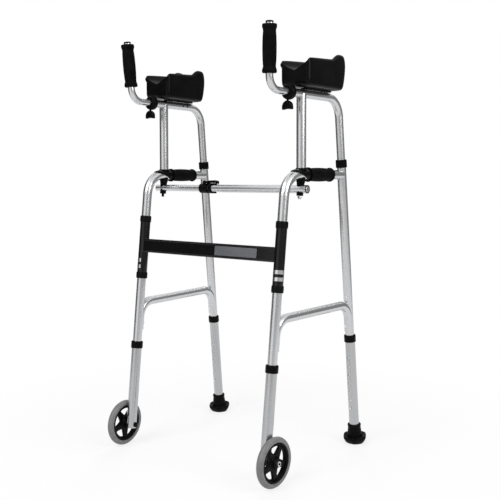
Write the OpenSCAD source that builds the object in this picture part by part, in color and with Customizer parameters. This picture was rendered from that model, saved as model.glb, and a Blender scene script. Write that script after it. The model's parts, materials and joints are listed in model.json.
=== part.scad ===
// Folding upright walker with two forearm gutters, front wheels and rear rubber feet.
// The front faces -Y, the user stands at +Y, the floor is z = 0 and x = 0 is the middle plane.

/* [Frame] */
// height of the hand tube axis above the floor
hand_h = 784; // [700:1:880]
// height of the arm tube axis above the floor
arm_h = 991; // [920:1:1080]
// distance between the two front leg axes
front_w = 482; // [430:1:560]
// distance along the floor from the wheel axle to the rear foot
base_l = 424; // [390:1:470]
// lean of the front legs, rearward going up, in degrees
front_lean = 6.6; // [4:0.1:8]
// lean of the rear legs, forward going up, in degrees
rear_lean = 5.9; // [4:0.1:8]
// outward turn of each side frame about its front leg, in degrees
toe = 2.4; // [0:0.1:4]
// bend radius between front leg and hand tube
hand_bend_r = 62; // [50:1:80]
// bend radius at the rear of the arm tube
arm_bend_r = 55; // [40:1:70]
// height of the lower side crossbar axis
side_bar_h = 416; // [380:1:470]
// bend radius at both ends of the lower side crossbar
side_bar_r = 46; // [28:1:60]

/* [Tubes] */
// outside diameter of the main frame tube
frame_d = 25.4; // [22:0.1:28]
// wall of every tube
wall = 1.3; // [1:0.1:1.6]
// radial gap between telescoping tubes
slide_gap = 0.3; // [0.2:0.05:0.5]
// outside diameter of the handle rod
rod_d = 18.6; // [17:0.1:20]
// outside diameter of the short, inner brace tube
brace_in_d = 18.6; // [17:0.1:20]
// diameter of the wheel axle bolts and of the brace pivot bolts
bolt_d = 7.6; // [6:0.1:9]
// diameter of the rivets of the side crossbars
rivet_d = 7; // [5:0.1:8]

/* [Cross frame] */
// length of the sleeve around each front leg
sleeve_l = 147; // [120:1:200]
// height of the middle of the cross bar
bar_h = 581; // [540:1:620]
// height of the section of the cross bar
bar_tall = 39; // [28:1:46]
// thickness of the cross bar
bar_thick = 25; // [16:1:27]

/* [Brace] */
// distance of the brace axis below the hand tube axis
brace_drop = 38; // [34:1:46]
// x place where the long brace tube begins
brace_mouth = 50; // [30:1:70]
// length of the lock sleeve on the short tube
lock_l = 27; // [22:1:50]

/* [Legs and wheels] */
// outside diameter of a wheel
wheel_d = 130; // [100:1:150]
// width of the tyre
tyre_w = 20; // [16:1:32]
// height of the top of the lower front leg
front_low_h = 299; // [280:1:330]
// height of the top of the lower rear leg
rear_low_h = 320; // [290:1:340]
// spacing of the adjusting holes
hole_pitch = 25; // [20:1:26]
// diameter of a spring button
button_d = 6.6; // [5:0.1:8]
// width of a rubber foot across its lobes
foot_d = 70; // [60:1:80]
// height of the rim of a rubber foot
foot_rim_h = 20; // [16:1:26]
// height of a rubber foot
foot_h = 57; // [48:1:66]

/* [Handles and pads] */
// length of an upright grip
grip_l = 122; // [100:1:130]
// outside diameter of a grip at its end flanges
grip_d = 36; // [32:1:40]
// outward turn of each handle rod about its arm tube, in degrees
rod_turn = 3; // [0:0.5:8]
// forward lean of the upright grips, in degrees
grip_lean = 3.4; // [0:0.1:8]
// bend radius of the handle rod
rod_bend_r = 37; // [32:1:48]
// length of a forearm pad
pad_l = 182; // [150:1:210]
// width of a forearm pad
pad_w = 92; // [80:1:110]
// height of a pad at its rear horns
pad_tall = 93; // [80:1:105]

/* [Hidden] */
$fn = 64;
over = 1;
fit = 0.1;
seat = 0.05;
swell = 0.2;
lap = 0.6;
quarter = 90;
half_turn = 180;

frame_in = frame_d - 2 * wall;
arm_d = frame_in - 2 * slide_gap;
arm_in = arm_d - 2 * wall;
lower_in = frame_d + 2 * slide_gap;
lower_d = lower_in + 2 * wall;
rod_in = rod_d - 2 * wall;
brace_in_bore = brace_in_d - 2 * wall;
brace_bore = brace_in_d + 2 * slide_gap;
brace_d = brace_bore + 2 * wall;

axle_h = wheel_d / 2;
sl = sin(front_lean);
cl = cos(front_lean);
tl = tan(front_lean);
tr = tan(rear_lean);

wheel_gap = frame_d * 0.08;
hub_w = tyre_w * 1.04;
wheel_off = lower_d / 2 + wheel_gap + hub_w / 2;

foot_floor = foot_rim_h * 0.6;

front_reach = wheel_d / 2 + wheel_off * sin(toe);
rear_reach = base_l * cos(toe) + foot_d / 2;
mid_y = (rear_reach - front_reach) / 2;

corner_u = (hand_h - axle_h) * tl;
hand_tan = hand_bend_r * tan((quarter - front_lean) / 2);
hand_u0 = corner_u + hand_tan;
post_u = hand_u0 + frame_d * 0.48;
tee_u = base_l - hand_h * tr;
arm_corner_u = base_l - arm_h * tr;
arm_tan = arm_bend_r * tan((quarter - rear_lean) / 2);
arm_u1 = arm_corner_u - arm_tan;

hole_n = 7;
button_h = axle_h + frame_d * 1.7;
insert_h = button_h - frame_d * 0.7;
hole_d = button_d + 2 * slide_gap;
button_out = lower_d / 2 + frame_d * 0.11;
leaf_r = frame_in / 2 - frame_d * 0.1;
leaf_t = wall * 0.6;
leaf_w = frame_d * 0.36;
leaf_l = frame_d * 1.3;

rear_top_h = hand_h + frame_d * 1.5;
arm_tail_h = hand_h - frame_d * 4.5;
collar_d = lower_d + frame_d * 0.2;
collar_l = frame_d * 0.95;

saddle_d = frame_d * 1.3;
saddle_lo = frame_d * 0.33;
saddle_hi = frame_d * 0.78;
post_lo = frame_d * 0.56;
boss_d = frame_d * 0.9;
boss_drop = frame_d * 0.5 + (brace_drop - frame_d / 2 - brace_d / 2) * 0.55;

pivot_s = post_u * sl + (hand_h - axle_h) * cl;
pivot_r = post_u * cl - (hand_h - axle_h) * sl;
pivot_x = front_w / 2 + pivot_r * sin(toe);
brace_s = pivot_s - brace_drop;
brace_y = brace_s * sl + pivot_r * cos(toe) * cl;
brace_z = axle_h + brace_s * cl - pivot_r * cos(toe) * sl;

sleeve_d = frame_d * 1.12;
sleeve_in = frame_d + 4 * slide_gap;
bush_d = frame_d * 1.26;
bush_l = frame_d * 0.72;
sleeve_lo = sleeve_l * 0.534;
bar_s = (bar_h - axle_h) / cl;

side_bar_d = frame_d * 0.96;
leg_gap = frame_d * 0.18;
bar_tail = frame_d * 1.5;

grip_u = corner_u - (frame_d * 2.57);
rod_tan = rod_bend_r * tan((quarter - grip_lean) / 2);
rod_u0 = grip_u + rod_tan;
rod_rise = rod_tan + frame_d * 0.02;
grip_lo = rod_rise - rod_d * 0.16;
grip_top = grip_lo + grip_l;
rod_top = grip_top + rod_d * 0.16;
clamp_u = rod_u0 + frame_d * 1.36;
clamp_l = frame_d * 0.8;
clamp_d = frame_d * 1.5;
arm_u0 = clamp_u + clamp_l * 0.45;
rod_tail = clamp_u + frame_d * 5.1;

hand_grip_u = post_u + frame_d * 1.03;
hand_run = rear_at(hand_h)[0] - hand_grip_u;
hand_grip_l = hand_run * 0.6445;
hand_grip_d = grip_d * 1.07;

rail_t = frame_d * 0.16;
plate_t = frame_d * 0.08;
mount_gap = frame_d * 0.08;
rail_z = arm_h + arm_d / 2 + slide_gap;
plate_z = rail_z + rail_t + mount_gap;
pad_z = plate_z + plate_t;
pad_u = post_u - frame_d * 1.24;
rail_u = pad_u + pad_l * 0.25;
rail_l = pad_l * 0.576;
skirt = frame_d * 0.2;
trough_tilt = 2;

// Places: each side is drawn for the right, with x outward, y from the axle and z up.

module side(s) {
  mirror([s < 0 ? 1 : 0, 0, 0])
    translate([front_w / 2, -mid_y, axle_h])
      rotate(-toe, [0, sl, cl])
        translate([0, 0, -axle_h])
          children();
}

// z along the front leg axis, from the axle, on the folding axis of a side
module on_leg(s) {
  translate([s * front_w / 2, -mid_y, axle_h])
    rotate([-front_lean, 0, 0])
      children();
}

// x along the brace axis, z along the folding axes
module on_brace() {
  translate([0, brace_y - mid_y, brace_z])
    rotate([-front_lean, 0, 0])
      children();
}

// a round bar between two points of the side plane, given as y and z
module bar2(p, q, d) {
  ang = atan2(q[0] - p[0], q[1] - p[1]);
  translate([0, p[0], p[1]])
    rotate([-ang, 0, 0])
      cylinder(d = d, h = norm(q - p));
}

// a bend in the side plane, angles counted from the rear toward up
module bend2(c, r, d, a0, a1) {
  translate([0, c[0], c[1]])
    rotate([quarter, 0, quarter])
      rotate([0, 0, a0])
        rotate_extrude(angle = a1 - a0)
          translate([r, 0])
            circle(d = d);
}

// the same two shapes as lengths of tube; a bend is a hair thicker and laps the straight ends
module tube2(p, q, d, lap0 = 0, lap1 = 0) {
  ang = atan2(q[0] - p[0], q[1] - p[1]);
  translate([0, p[0], p[1]])
    rotate([-ang, 0, 0])
      translate([0, 0, -lap0])
        ring(d, d - 2 * wall, norm(q - p) + lap0 + lap1);
}

module elbow2(c, r, d, a0, a1) {
  translate([0, c[0], c[1]])
    rotate([quarter, 0, quarter])
      rotate([0, 0, a0])
        rotate_extrude(angle = a1 - a0)
          translate([r, 0])
            difference() {
              circle(d = d + 2 * swell);
              circle(d = d - 2 * wall - 2 * swell);
            }
}

function front_at(z) = [(z - axle_h) * tl, z];
function rear_at(z) = [base_l - z * tr, z];

// a frame at a height on the rear leg, z along the leg
module on_rear(z) {
  translate([0, rear_at(z)[0], z])
    rotate([rear_lean, 0, 0])
      children();
}

// a frame at a height on the front leg, z along the leg
module on_front(z) {
  translate([0, front_at(z)[0], z])
    rotate([-front_lean, 0, 0])
      children();
}

module ring(d, bore, h) {
  difference() {
    cylinder(d = d, h = h);
    translate([0, 0, -over])
      cylinder(d = bore, h = h + 2 * over);
  }
}

// Side frame

module front_tube() {
  p1 = [corner_u - hand_tan * sl, hand_h - hand_tan * cl];
  difference() {
    union() {
      tube2(front_at(insert_h), p1, frame_d, 0, lap);
      elbow2([hand_u0, hand_h - hand_bend_r], hand_bend_r, frame_d, quarter, half_turn - front_lean);
      tube2([hand_u0, hand_h], [tee_u, hand_h], frame_d, lap, 0);
    }
    bar2(rear_at(hand_h - frame_d), rear_at(hand_h + frame_d), frame_d + 2 * seat);
    on_front(button_h)
      rotate([-quarter, 0, 0])
        cylinder(d = hole_d, h = frame_d);
    pivot_hole();
    rivet_holes();
  }
}

module pivot_hole() {
  translate([0, post_u, hand_h])
    rotate([-front_lean, 0, 0])
      translate([0, 0, -frame_d])
        cylinder(d = bolt_d + 2 * seat, h = 2 * frame_d);
}

module rear_tube() {
  difference() {
    tube2(rear_at(insert_h), rear_at(rear_top_h), frame_d);
    on_rear(button_h)
      rotate([quarter, 0, 0])
        cylinder(d = hole_d, h = frame_d);
    rivet_holes();
  }
}

module side_bar_path(d) {
  f = front_at(side_bar_h);
  r = rear_at(side_bar_h);
  ft = side_bar_r * tan((quarter - front_lean) / 2);
  rt = side_bar_r * tan((quarter - rear_lean) / 2);
  fu = f[0] + leg_gap / cl;
  ru = r[0] - leg_gap / cos(rear_lean);
  zc = side_bar_h - side_bar_r;
  fd = [sl, cl];
  rd = [-sin(rear_lean), cos(rear_lean)];
  fb = [fu, side_bar_h] - ft * fd;
  rb = [ru, side_bar_h] - rt * rd;
  tube2(fb - bar_tail * fd, fb, d, 0, lap);
  elbow2([fu + ft, zc], side_bar_r, d, quarter, half_turn - front_lean);
  tube2([fu + ft, side_bar_h], [ru - rt, side_bar_h], d, lap, lap);
  elbow2([ru - rt, zc], side_bar_r, d, rear_lean, quarter);
  tube2(rb - bar_tail * rd, rb, d, 0, lap);
}

rivet_head = frame_d * 0.4;
rivet_h = frame_d * 0.09;

module rivet_places() {
  ft = side_bar_r * tan((quarter - front_lean) / 2) + bar_tail * 0.5;
  rt = side_bar_r * tan((quarter - rear_lean) / 2) + bar_tail * 0.5;
  on_front(side_bar_h - ft * cl)
    rotate([-quarter, 0, 0])
      children();
  on_rear(side_bar_h - rt * cos(rear_lean))
    rotate([quarter, 0, 0])
      children();
}

module rivet_holes() {
  rivet_places()
    cylinder(d = rivet_d + 2 * seat, h = frame_d);
}

module side_bar() {
  difference() {
    side_bar_path(side_bar_d);
    bar2(front_at(side_bar_h - 3 * side_bar_r), front_at(side_bar_h + side_bar_r), frame_d + 2 * seat);
    bar2(rear_at(side_bar_h - 3 * side_bar_r), rear_at(side_bar_h + side_bar_r), frame_d + 2 * seat);
    rivet_holes();
  }
}

module rivet() {
  low = frame_d * 0.36;
  top = leg_gap + side_bar_d / 2 + seat;
  translate([0, 0, low])
    cylinder(d = rivet_d, h = top - low + rivet_h / 2);
  translate([0, 0, top])
    cylinder(d = rivet_head, h = rivet_h);
}

pad_bolt_d = frame_d * 0.22;
pad_bolt_at = [rail_u + rail_l * 0.12, rail_u + rail_l * 0.88];

module fasteners() {
  rivet_places()
    rivet();
  for (u = pad_bolt_at) {
    translate([0, u, arm_h + arm_in / 2 + seat])
      cylinder(d = pad_bolt_d, h = pad_z - arm_h - arm_in / 2 - 2 * seat);
    translate([0, u, rail_z + rail_t + seat])
      cylinder(d = pad_bolt_d * 2, h = mount_gap - 2 * seat);
  }
}

module pivot_bolt() {
  translate([0, post_u, hand_h])
    rotate([-front_lean, 0, 0]) {
      translate([0, 0, -brace_drop - brace_d * 1.2])
        cylinder(d = bolt_d, h = brace_drop + brace_d * 1.2 + frame_in / 2 * 0.9);
      translate([0, 0, -brace_drop - brace_d * 1.05])
        cylinder(d = bolt_d * 1.7, h = brace_d * 0.2, $fn = 6);
    }
}

module grip_form(l, bore, d) {
  r = d / 2;
  lip = d * 0.17;
  neck = d * 0.42;
  belly = d * 0.475;
  difference() {
    rotate_extrude()
      polygon([
        [0, 0], [r * 0.97, 0], [r, lip * 0.3], [r, lip * 0.7], [r * 0.97, lip], [neck, lip * 1.5],
        [belly, l * 0.3], [belly, l * 0.7],
        [neck, l - lip * 1.5], [r * 0.97, l - lip], [r, l - lip * 0.7], [r, l - lip * 0.3],
        [r * 0.97, l], [0, l]
      ]);
    translate([0, 0, -over])
      cylinder(d = bore, h = l + 2 * over);
  }
}

module hand_grip() {
  translate([0, hand_grip_u, hand_h])
    rotate([-quarter, 0, 0])
      grip_form(hand_grip_l, frame_d + 2 * seat, hand_grip_d);
}

module post_saddle() {
  difference() {
    union() {
      translate([0, post_u, hand_h - saddle_lo])
        cylinder(d = saddle_d, h = saddle_lo + saddle_hi);
      translate([0, post_u, hand_h])
        rotate([-front_lean, 0, 0])
          translate([0, 0, -boss_drop])
            cylinder(d1 = boss_d * 0.92, d2 = boss_d * 1.1, h = boss_drop);
    }
    bar2([hand_u0 - lap, hand_h], [post_u + saddle_d, hand_h], frame_d + 2 * seat);
    bend2([hand_u0, hand_h - hand_bend_r], hand_bend_r, frame_d + 4 * slide_gap,
      quarter, half_turn - front_lean);
    translate([0, post_u, hand_h + post_lo])
      cylinder(d = frame_d + 2 * seat, h = saddle_hi);
    translate([0, post_u, hand_h])
      rotate([-front_lean, 0, 0])
        translate([0, 0, -brace_drop])
          cylinder(d = bolt_d + 2 * seat, h = brace_drop + saddle_hi);
  }
}

module arm_path() {
  lean = [-sin(rear_lean), cos(rear_lean)];
  tube2([arm_u0, arm_h], [arm_u1, arm_h], arm_d, 0, lap);
  elbow2([arm_u1, arm_h - arm_bend_r], arm_bend_r, arm_d, rear_lean, quarter);
  tube2(rear_at(arm_tail_h), [arm_corner_u, arm_h] - arm_tan * lean, arm_d, 0, lap);
}

arm_hole_d = frame_d * 0.24;
arm_hole_pitch = frame_d * 0.8;

module arm_frame() {
  difference() {
    union() {
      arm_path();
      difference() {
        translate([0, post_u, hand_h + post_lo + seat])
          ring(frame_d, frame_in, arm_h - hand_h - post_lo);
        bar2([post_u - frame_d, arm_h], [post_u + frame_d, arm_h], arm_d - wall);
      }
    }
    for (i = [0:3])
      translate([0, post_u + frame_d * 1.4 + i * arm_hole_pitch, arm_h])
        rotate([0, -quarter, 0])
          cylinder(d = arm_hole_d, h = arm_d);
    for (u = pad_bolt_at)
      translate([0, u, arm_h])
        cylinder(d = pad_bolt_d + 2 * seat, h = arm_d);
  }
}

module arm_collar() {
  difference() {
    on_rear(rear_top_h)
      difference() {
        translate([0, 0, -collar_l * 0.75])
          cylinder(d = collar_d * 0.92, h = collar_l * 0.91);
        translate([0, 0, -collar_l])
          cylinder(d = frame_d + 2 * seat, h = collar_l + seat);
        translate([0, 0, -over])
          cylinder(d = arm_d + 2 * seat, h = collar_l + over);
      }
    bend2([arm_u1, arm_h - arm_bend_r], arm_bend_r, arm_d + 4 * swell, rear_lean, quarter);
  }
}

stud_d = frame_d * 0.24;
knob_w = frame_d * 1.3;
knob_h = frame_d * 0.86;
knob_t = frame_d * 0.4;

module rod_clamp() {
  edge = clamp_d * 0.08;
  difference() {
    translate([0, clamp_u, arm_h])
      rotate([-quarter, 0, 0]) {
        cylinder(d1 = clamp_d - 2 * edge, d2 = clamp_d, h = edge);
        translate([0, 0, edge])
          cylinder(d = clamp_d, h = clamp_l - 2 * edge);
        translate([0, 0, clamp_l - edge])
          cylinder(d1 = clamp_d, d2 = clamp_d - 2 * edge, h = edge);
      }
    bar2([clamp_u - over, arm_h], [arm_u0, arm_h], rod_d + 2 * slide_gap);
    bar2([arm_u0 - seat, arm_h], [clamp_u + clamp_l + over, arm_h], arm_d + 2 * seat);
    translate([0, clamp_u + clamp_l * 0.22, arm_h - clamp_d])
      cylinder(d = stud_d + 2 * slide_gap, h = clamp_d);
  }
}

module clamp_knob() {
  stud = clamp_d / 2 - rod_d / 2 - slide_gap * 3;
  translate([0, clamp_u + clamp_l * 0.22, arm_h - clamp_d / 2]) {
    translate([0, 0, -frame_d * 0.2])
      cylinder(d = stud_d, h = stud + frame_d * 0.2);
    translate([0, 0, -frame_d * 0.35])
      cylinder(d1 = knob_t * 1.5, d2 = knob_t * 1.2, h = frame_d * 0.22);
    rotate([quarter, 0, 0])
      translate([0, 0, -knob_t / 2])
        linear_extrude(knob_t)
          difference() {
            union() {
              polygon([
                [-knob_t * 0.55, -frame_d * 0.18], [knob_t * 0.55, -frame_d * 0.18],
                [knob_w * 0.48, -knob_h * 0.86], [-knob_w * 0.48, -knob_h * 0.86]
              ]);
              for (s = [-1, 1])
                translate([s * knob_w * 0.33, -knob_h * 0.9])
                  circle(d = knob_w * 0.34);
            }
            translate([0, -knob_h * 1.05])
              circle(d = knob_w * 0.34);
          }
  }
}

// Forearm pad and its bracket

module pad_mount() {
  web_in = (pad_bolt_at[1] - pad_bolt_at[0]) * 0.25;
  difference() {
    union() {
      translate([-frame_d * 0.5, rail_u, rail_z])
        cube([frame_d, rail_l, rail_t]);
      translate([-frame_d * 0.25, pad_bolt_at[0] + web_in, rail_z])
        cube([frame_d * 0.5, pad_bolt_at[1] - pad_bolt_at[0] - 2 * web_in, rail_t + mount_gap + plate_t / 2]);
      translate([-pad_w * 0.34, pad_u + pad_l * 0.2, plate_z])
        cube([pad_w * 0.68, pad_l * 0.72, plate_t]);
    }
    for (u = pad_bolt_at)
      translate([0, u, rail_z - over])
        cylinder(d = pad_bolt_d + 2 * seat, h = pad_z - rail_z + 2 * over);
  }
}

// side view of the pad: low front lip, walls that rise to the rear, raised horns
module pad_side() {
  translate([-pad_w, 0, 0])
    rotate([quarter, 0, quarter])
      linear_extrude(2 * pad_w)
        polygon([
          [pad_l * 0.02, pad_tall * 0.16], [pad_l * 0.09, -skirt], [pad_l * 0.9, -skirt],
          [pad_l * 0.965, pad_tall * 0.14], [pad_l, pad_tall * 0.5], [pad_l * 0.985, pad_tall * 0.84],
          [pad_l * 0.96, pad_tall * 0.93], [pad_l * 0.86, pad_tall], [pad_l * 0.79, pad_tall * 0.985],
          [pad_l * 0.7, pad_tall * 0.84], [pad_l * 0.6, pad_tall * 0.8], [pad_l * 0.3, pad_tall * 0.75],
          [pad_l * 0.22, pad_tall * 0.72], [pad_l * 0.1, pad_tall * 0.64],
          [pad_l * 0.02, pad_tall * 0.63], [0, pad_tall * 0.57]
        ]);
}

// plan of the pad: narrow wrist end, wide elbow end
module pad_plan() {
  translate([0, 0, -skirt - over])
    linear_extrude(pad_tall + skirt + 2 * over)
      polygon([
        [-pad_w * 0.4, 0], [pad_w * 0.4, 0], [pad_w * 0.45, pad_l * 0.03], [pad_w * 0.48, pad_l * 0.3],
        [pad_w * 0.5, pad_l * 0.6], [pad_w * 0.5, pad_l * 0.88], [pad_w * 0.46, pad_l * 0.96],
        [pad_w * 0.34, pad_l], [-pad_w * 0.34, pad_l], [-pad_w * 0.46, pad_l * 0.96],
        [-pad_w * 0.5, pad_l * 0.88], [-pad_w * 0.5, pad_l * 0.6], [-pad_w * 0.48, pad_l * 0.3],
        [-pad_w * 0.45, pad_l * 0.03]
      ]);
}

// section of the pad: rounded lower corners, full crowned walls
module pad_section() {
  c = pad_w * 0.17;
  translate([0, -over, 0])
    rotate([quarter, 0, half_turn])
      linear_extrude(pad_l + 2 * over) {
        for (s = [-1, 1])
          translate([s * (pad_w / 2 - c), c - skirt])
            circle(r = c);
        translate([-pad_w / 2 + c, -skirt])
          square([pad_w - 2 * c, pad_tall * 0.5]);
        translate([-pad_w / 2, c - skirt])
          square([pad_w, pad_tall - c - skirt]);
        for (s = [-1, 1])
          translate([s * pad_w * 0.39, pad_tall - pad_w * 0.11])
            circle(r = pad_w * 0.11);
      }
}

module arm_pad() {
  trough = pad_w * 0.385;
  translate([0, pad_u, pad_z])
    difference() {
      intersection() {
        pad_side();
        pad_plan();
        pad_section();
      }
      translate([0, -over, pad_tall * 0.44 + trough])
        rotate([-quarter - trough_tilt, 0, 0])
          cylinder(r1 = trough * 0.96, r2 = trough * 1.06, h = pad_l * 1.1);
      translate([-trough * 0.98, -over, pad_tall * 0.44 + trough])
        cube([trough * 1.96, pad_l + 2 * over, pad_tall]);
      translate([-pad_w * 0.36, pad_l * 0.18, -skirt - over])
        cube([pad_w * 0.72, pad_l * 0.76, skirt + over + seat]);
    }
}

// Handle

module turned_out() {
  translate([0, 0, arm_h])
    rotate([0, rod_turn, 0])
      translate([0, 0, -arm_h])
        children();
}

module handle_rod() {
  lean = [-sin(grip_lean), cos(grip_lean)];
  c = [rod_u0, arm_h + rod_bend_r];
  turned_out() {
    tube2([rod_u0, arm_h], [rod_tail, arm_h], rod_d, lap, 0);
    elbow2(c, rod_bend_r, rod_d, half_turn + grip_lean, half_turn + quarter);
    tube2([grip_u, arm_h] + rod_tan * lean, [grip_u, arm_h] + rod_top * lean, rod_d, lap, 0);
  }
}

module on_grip(s) {
  turned_out()
    translate([0, grip_u - s * sin(grip_lean), arm_h + s * cos(grip_lean)])
      rotate([grip_lean, 0, 0])
        children();
}

module handle_grip() {
  on_grip(grip_lo + rod_d * 0.3)
    grip_form(grip_l - rod_d * 0.3, rod_d + 2 * seat, grip_d);
}

module grip_cap() {
  cap = rod_d * 0.26;
  on_grip(rod_top + seat) {
    translate([0, 0, -rod_d])
      cylinder(d = rod_in - 2 * seat, h = rod_d + lap);
    cylinder(d = rod_d * 1.06, h = cap * 0.6);
    translate([0, 0, cap * 0.6])
      cylinder(d1 = rod_d * 1.06, d2 = rod_d * 0.8, h = cap * 0.4);
  }
}

// Lower legs, wheels and feet

module leg_holes(sign) {
  for (i = [0:hole_n - 1])
    translate([0, 0, i * hole_pitch])
      rotate([sign * quarter, 0, 0])
        cylinder(d = hole_d, h = lower_d);
}

module front_leg() {
  lo = axle_h - lower_d * 0.36;
  on_front(lo)
    difference() {
      cylinder(d = lower_d, h = (front_low_h - lo) / cl);
      translate([0, 0, -over])
        cylinder(d = lower_in, h = (front_low_h - lo) / cl + 2 * over);
      translate([0, 0, (button_h - lo) / cl])
        leg_holes(-1);
      translate([0, 0, (axle_h - lo) / cl])
        rotate([0, quarter, 0])
          cylinder(d = bolt_d + 2 * seat, h = 2 * lower_d, center = true);
    }
}

module collar_form() {
  difference() {
    union() {
      translate([0, 0, -collar_l * 0.6])
        cylinder(d = collar_d, h = collar_l * 0.75);
      translate([0, 0, collar_l * 0.15])
        cylinder(d1 = collar_d, d2 = collar_d * 0.93, h = collar_l * 0.1);
    }
    translate([0, 0, -collar_l])
      cylinder(d = lower_d + 2 * seat, h = collar_l + seat);
    translate([0, 0, -over])
      cylinder(d = lower_in, h = collar_l);
  }
}

module front_collar() {
  on_front(front_low_h)
    collar_form();
}

module wheel_axle() {
  head = bolt_d * 1.7;
  tip = wheel_off + hub_w / 2 + frame_d * 0.34;
  translate([0, 0, axle_h])
    rotate([0, quarter, 0]) {
      translate([0, 0, -lower_d / 2 - frame_d * 0.15])
        cylinder(d = head, h = frame_d * 0.15 - seat);
      translate([0, 0, -lower_d / 2 - seat])
        cylinder(d = bolt_d, h = tip + lower_d / 2 - frame_d * 0.06);
      translate([0, 0, tip - frame_d * 0.3])
        cylinder(d = head * 1.05, h = frame_d * 0.24, $fn = 6);
      translate([0, 0, lower_d / 2 + seat])
        ring(bolt_d * 1.6, bolt_d, wheel_gap - slide_gap - seat);
    }
}

rim_r = wheel_d * 0.395;

module on_wheel() {
  translate([wheel_off, 0, axle_h])
    rotate([0, quarter, 0])
      children();
}

module wheel_tyre() {
  r = wheel_d / 2;
  w = tyre_w / 2;
  on_wheel()
    rotate_extrude()
      polygon([
        [rim_r + seat, -w * 0.8], [rim_r * 1.06, -w * 0.97], [rim_r * 1.13, -w], [r * 0.93, -w * 0.78],
        [r * 0.985, -w * 0.42], [r, -w * 0.15], [r, w * 0.15], [r * 0.985, w * 0.42], [r * 0.93, w * 0.78],
        [rim_r * 1.13, w], [rim_r * 1.06, w * 0.97], [rim_r + seat, w * 0.8]
      ]);
}

bush_out = bolt_d * 1.5;
spoke_n = 5;

module wheel_hub() {
  w = tyre_w / 2;
  on_wheel()
    difference() {
      union() {
        translate([0, 0, -w * 0.76])
          ring(2 * rim_r, 2 * rim_r * 0.84, w * 1.52);
        translate([0, 0, -hub_w / 2])
          cylinder(d = rim_r * 0.56, h = hub_w);
        translate([0, 0, -w * 0.34])
          cylinder(r = rim_r * 0.86, h = w * 0.68);
      }
      translate([0, 0, -hub_w])
        cylinder(d = bush_out + 2 * seat, h = 2 * hub_w);
      for (i = [0:spoke_n - 1])
        rotate([0, 0, (i + 0.5) * 4 * quarter / spoke_n])
          translate([0, 0, -hub_w])
            linear_extrude(2 * hub_w)
              polygon([
                [rim_r * 0.38, 0], [rim_r * 0.71, -rim_r * 0.36], [rim_r * 0.79, -rim_r * 0.2],
                [rim_r * 0.82, 0], [rim_r * 0.79, rim_r * 0.2], [rim_r * 0.71, rim_r * 0.36]
              ]);
    }
}

module wheel_bush() {
  on_wheel()
    translate([0, 0, -hub_w / 2])
      ring(bush_out, bolt_d + 2 * fit, hub_w);
}

module rear_leg() {
  lo = foot_floor;
  c = cos(rear_lean);
  on_rear(lo)
    difference() {
      cylinder(d = lower_d, h = (rear_low_h - lo) / c);
      translate([0, 0, -over])
        cylinder(d = lower_in, h = (rear_low_h - lo) / c + 2 * over);
      translate([0, 0, (button_h - lo) / c])
        leg_holes(1);
    }
}

module rear_collar() {
  on_rear(rear_low_h)
    collar_form();
}

// lobed rim and tapered neck square to the leg, cut flat where it stands
module foot() {
  lobe_n = 6;
  lobe = foot_d * 0.36;
  core = foot_d * 0.86;
  edge = foot_rim_h * 0.2;
  sink = foot_rim_h;
  difference() {
    on_rear(0) {
      translate([0, 0, -sink])
        linear_extrude(sink + foot_rim_h - edge) {
          circle(d = core);
          for (i = [0:lobe_n - 1])
            rotate([0, 0, (i + 0.5) * 4 * quarter / lobe_n])
              translate([foot_d / 2 - lobe / 2, 0])
                circle(d = lobe);
        }
      translate([0, 0, foot_rim_h - edge - lap])
        cylinder(d1 = core - edge, d2 = core - 3 * edge, h = edge + lap);
      translate([0, 0, lap])
        cylinder(d1 = lower_d * 1.5, d2 = lower_d * 1.28, h = foot_h - lap);
    }
    on_rear(foot_floor)
      cylinder(d = lower_d + 2 * seat, h = foot_h);
    translate([0, base_l, axle_h])
      rotate(toe, [0, sl, cl])
        translate([-foot_d, -foot_d, -axle_h - 2 * sink])
          cube([2 * foot_d, 2 * foot_d, 2 * sink]);
  }
}

// Spring buttons: a pin on its leaf, pressed toward the tube axis

module button_form() {
  rotate([quarter, 0, 0])
    translate([0, 0, leaf_r])
      cylinder(d = button_d, h = button_out - leaf_r);
  translate([-leaf_w / 2, -leaf_r, -leaf_l * 0.3])
    cube([leaf_w, leaf_t, leaf_l]);
}

module front_button() {
  on_front(button_h)
    mirror([0, 1, 0])
      button_form();
}

module rear_button() {
  on_rear(button_h)
    button_form();
}

// Cross frame on the two front legs

module cross_frame() {
  color([0.06, 0.06, 0.065])
    difference() {
      union() {
        for (s = [-1, 1])
          on_leg(s)
            translate([0, 0, bar_s - sleeve_lo])
              cylinder(d = sleeve_d, h = sleeve_l);
        on_leg(0)
          translate([-front_w / 2, -bar_thick / 2, bar_s - bar_tall / 2])
            cube([front_w, bar_thick, bar_tall]);
      }
      for (s = [-1, 1])
        on_leg(s)
          translate([0, 0, bar_s - sleeve_l])
            cylinder(d = sleeve_in, h = 2 * sleeve_l);
      on_leg(0)
        translate([-front_w * 0.4, -bar_thick / 2 - over, bar_s - bar_tall * 0.36])
          cube([front_w * 0.8, over + bar_thick * 0.09, bar_tall * 0.72]);
      on_leg(0)
        translate([-front_w * 0.4, bar_thick * 0.41, bar_s - bar_tall * 0.36])
          cube([front_w * 0.8, over + bar_thick * 0.09, bar_tall * 0.72]);
    }
}

module sleeve_bushes() {
  color([0.05, 0.05, 0.05])
    for (s = [-1, 1])
      on_leg(s)
        for (e = [-1, 1])
          translate([0, 0, bar_s - sleeve_lo + (e > 0 ? sleeve_l : 0)])
            mirror([0, 0, e < 0 ? 1 : 0])
              difference() {
                union() {
                  translate([0, 0, seat])
                    cylinder(d = bush_d, h = bush_l);
                  translate([0, 0, -bush_l])
                    cylinder(d = sleeve_in - 2 * seat, h = bush_l + 2 * seat);
                }
                translate([0, 0, -2 * bush_l])
                  cylinder(d = frame_d + 2 * fit, h = 4 * bush_l);
              }
}

// Telescoping brace between the two side frames

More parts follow.
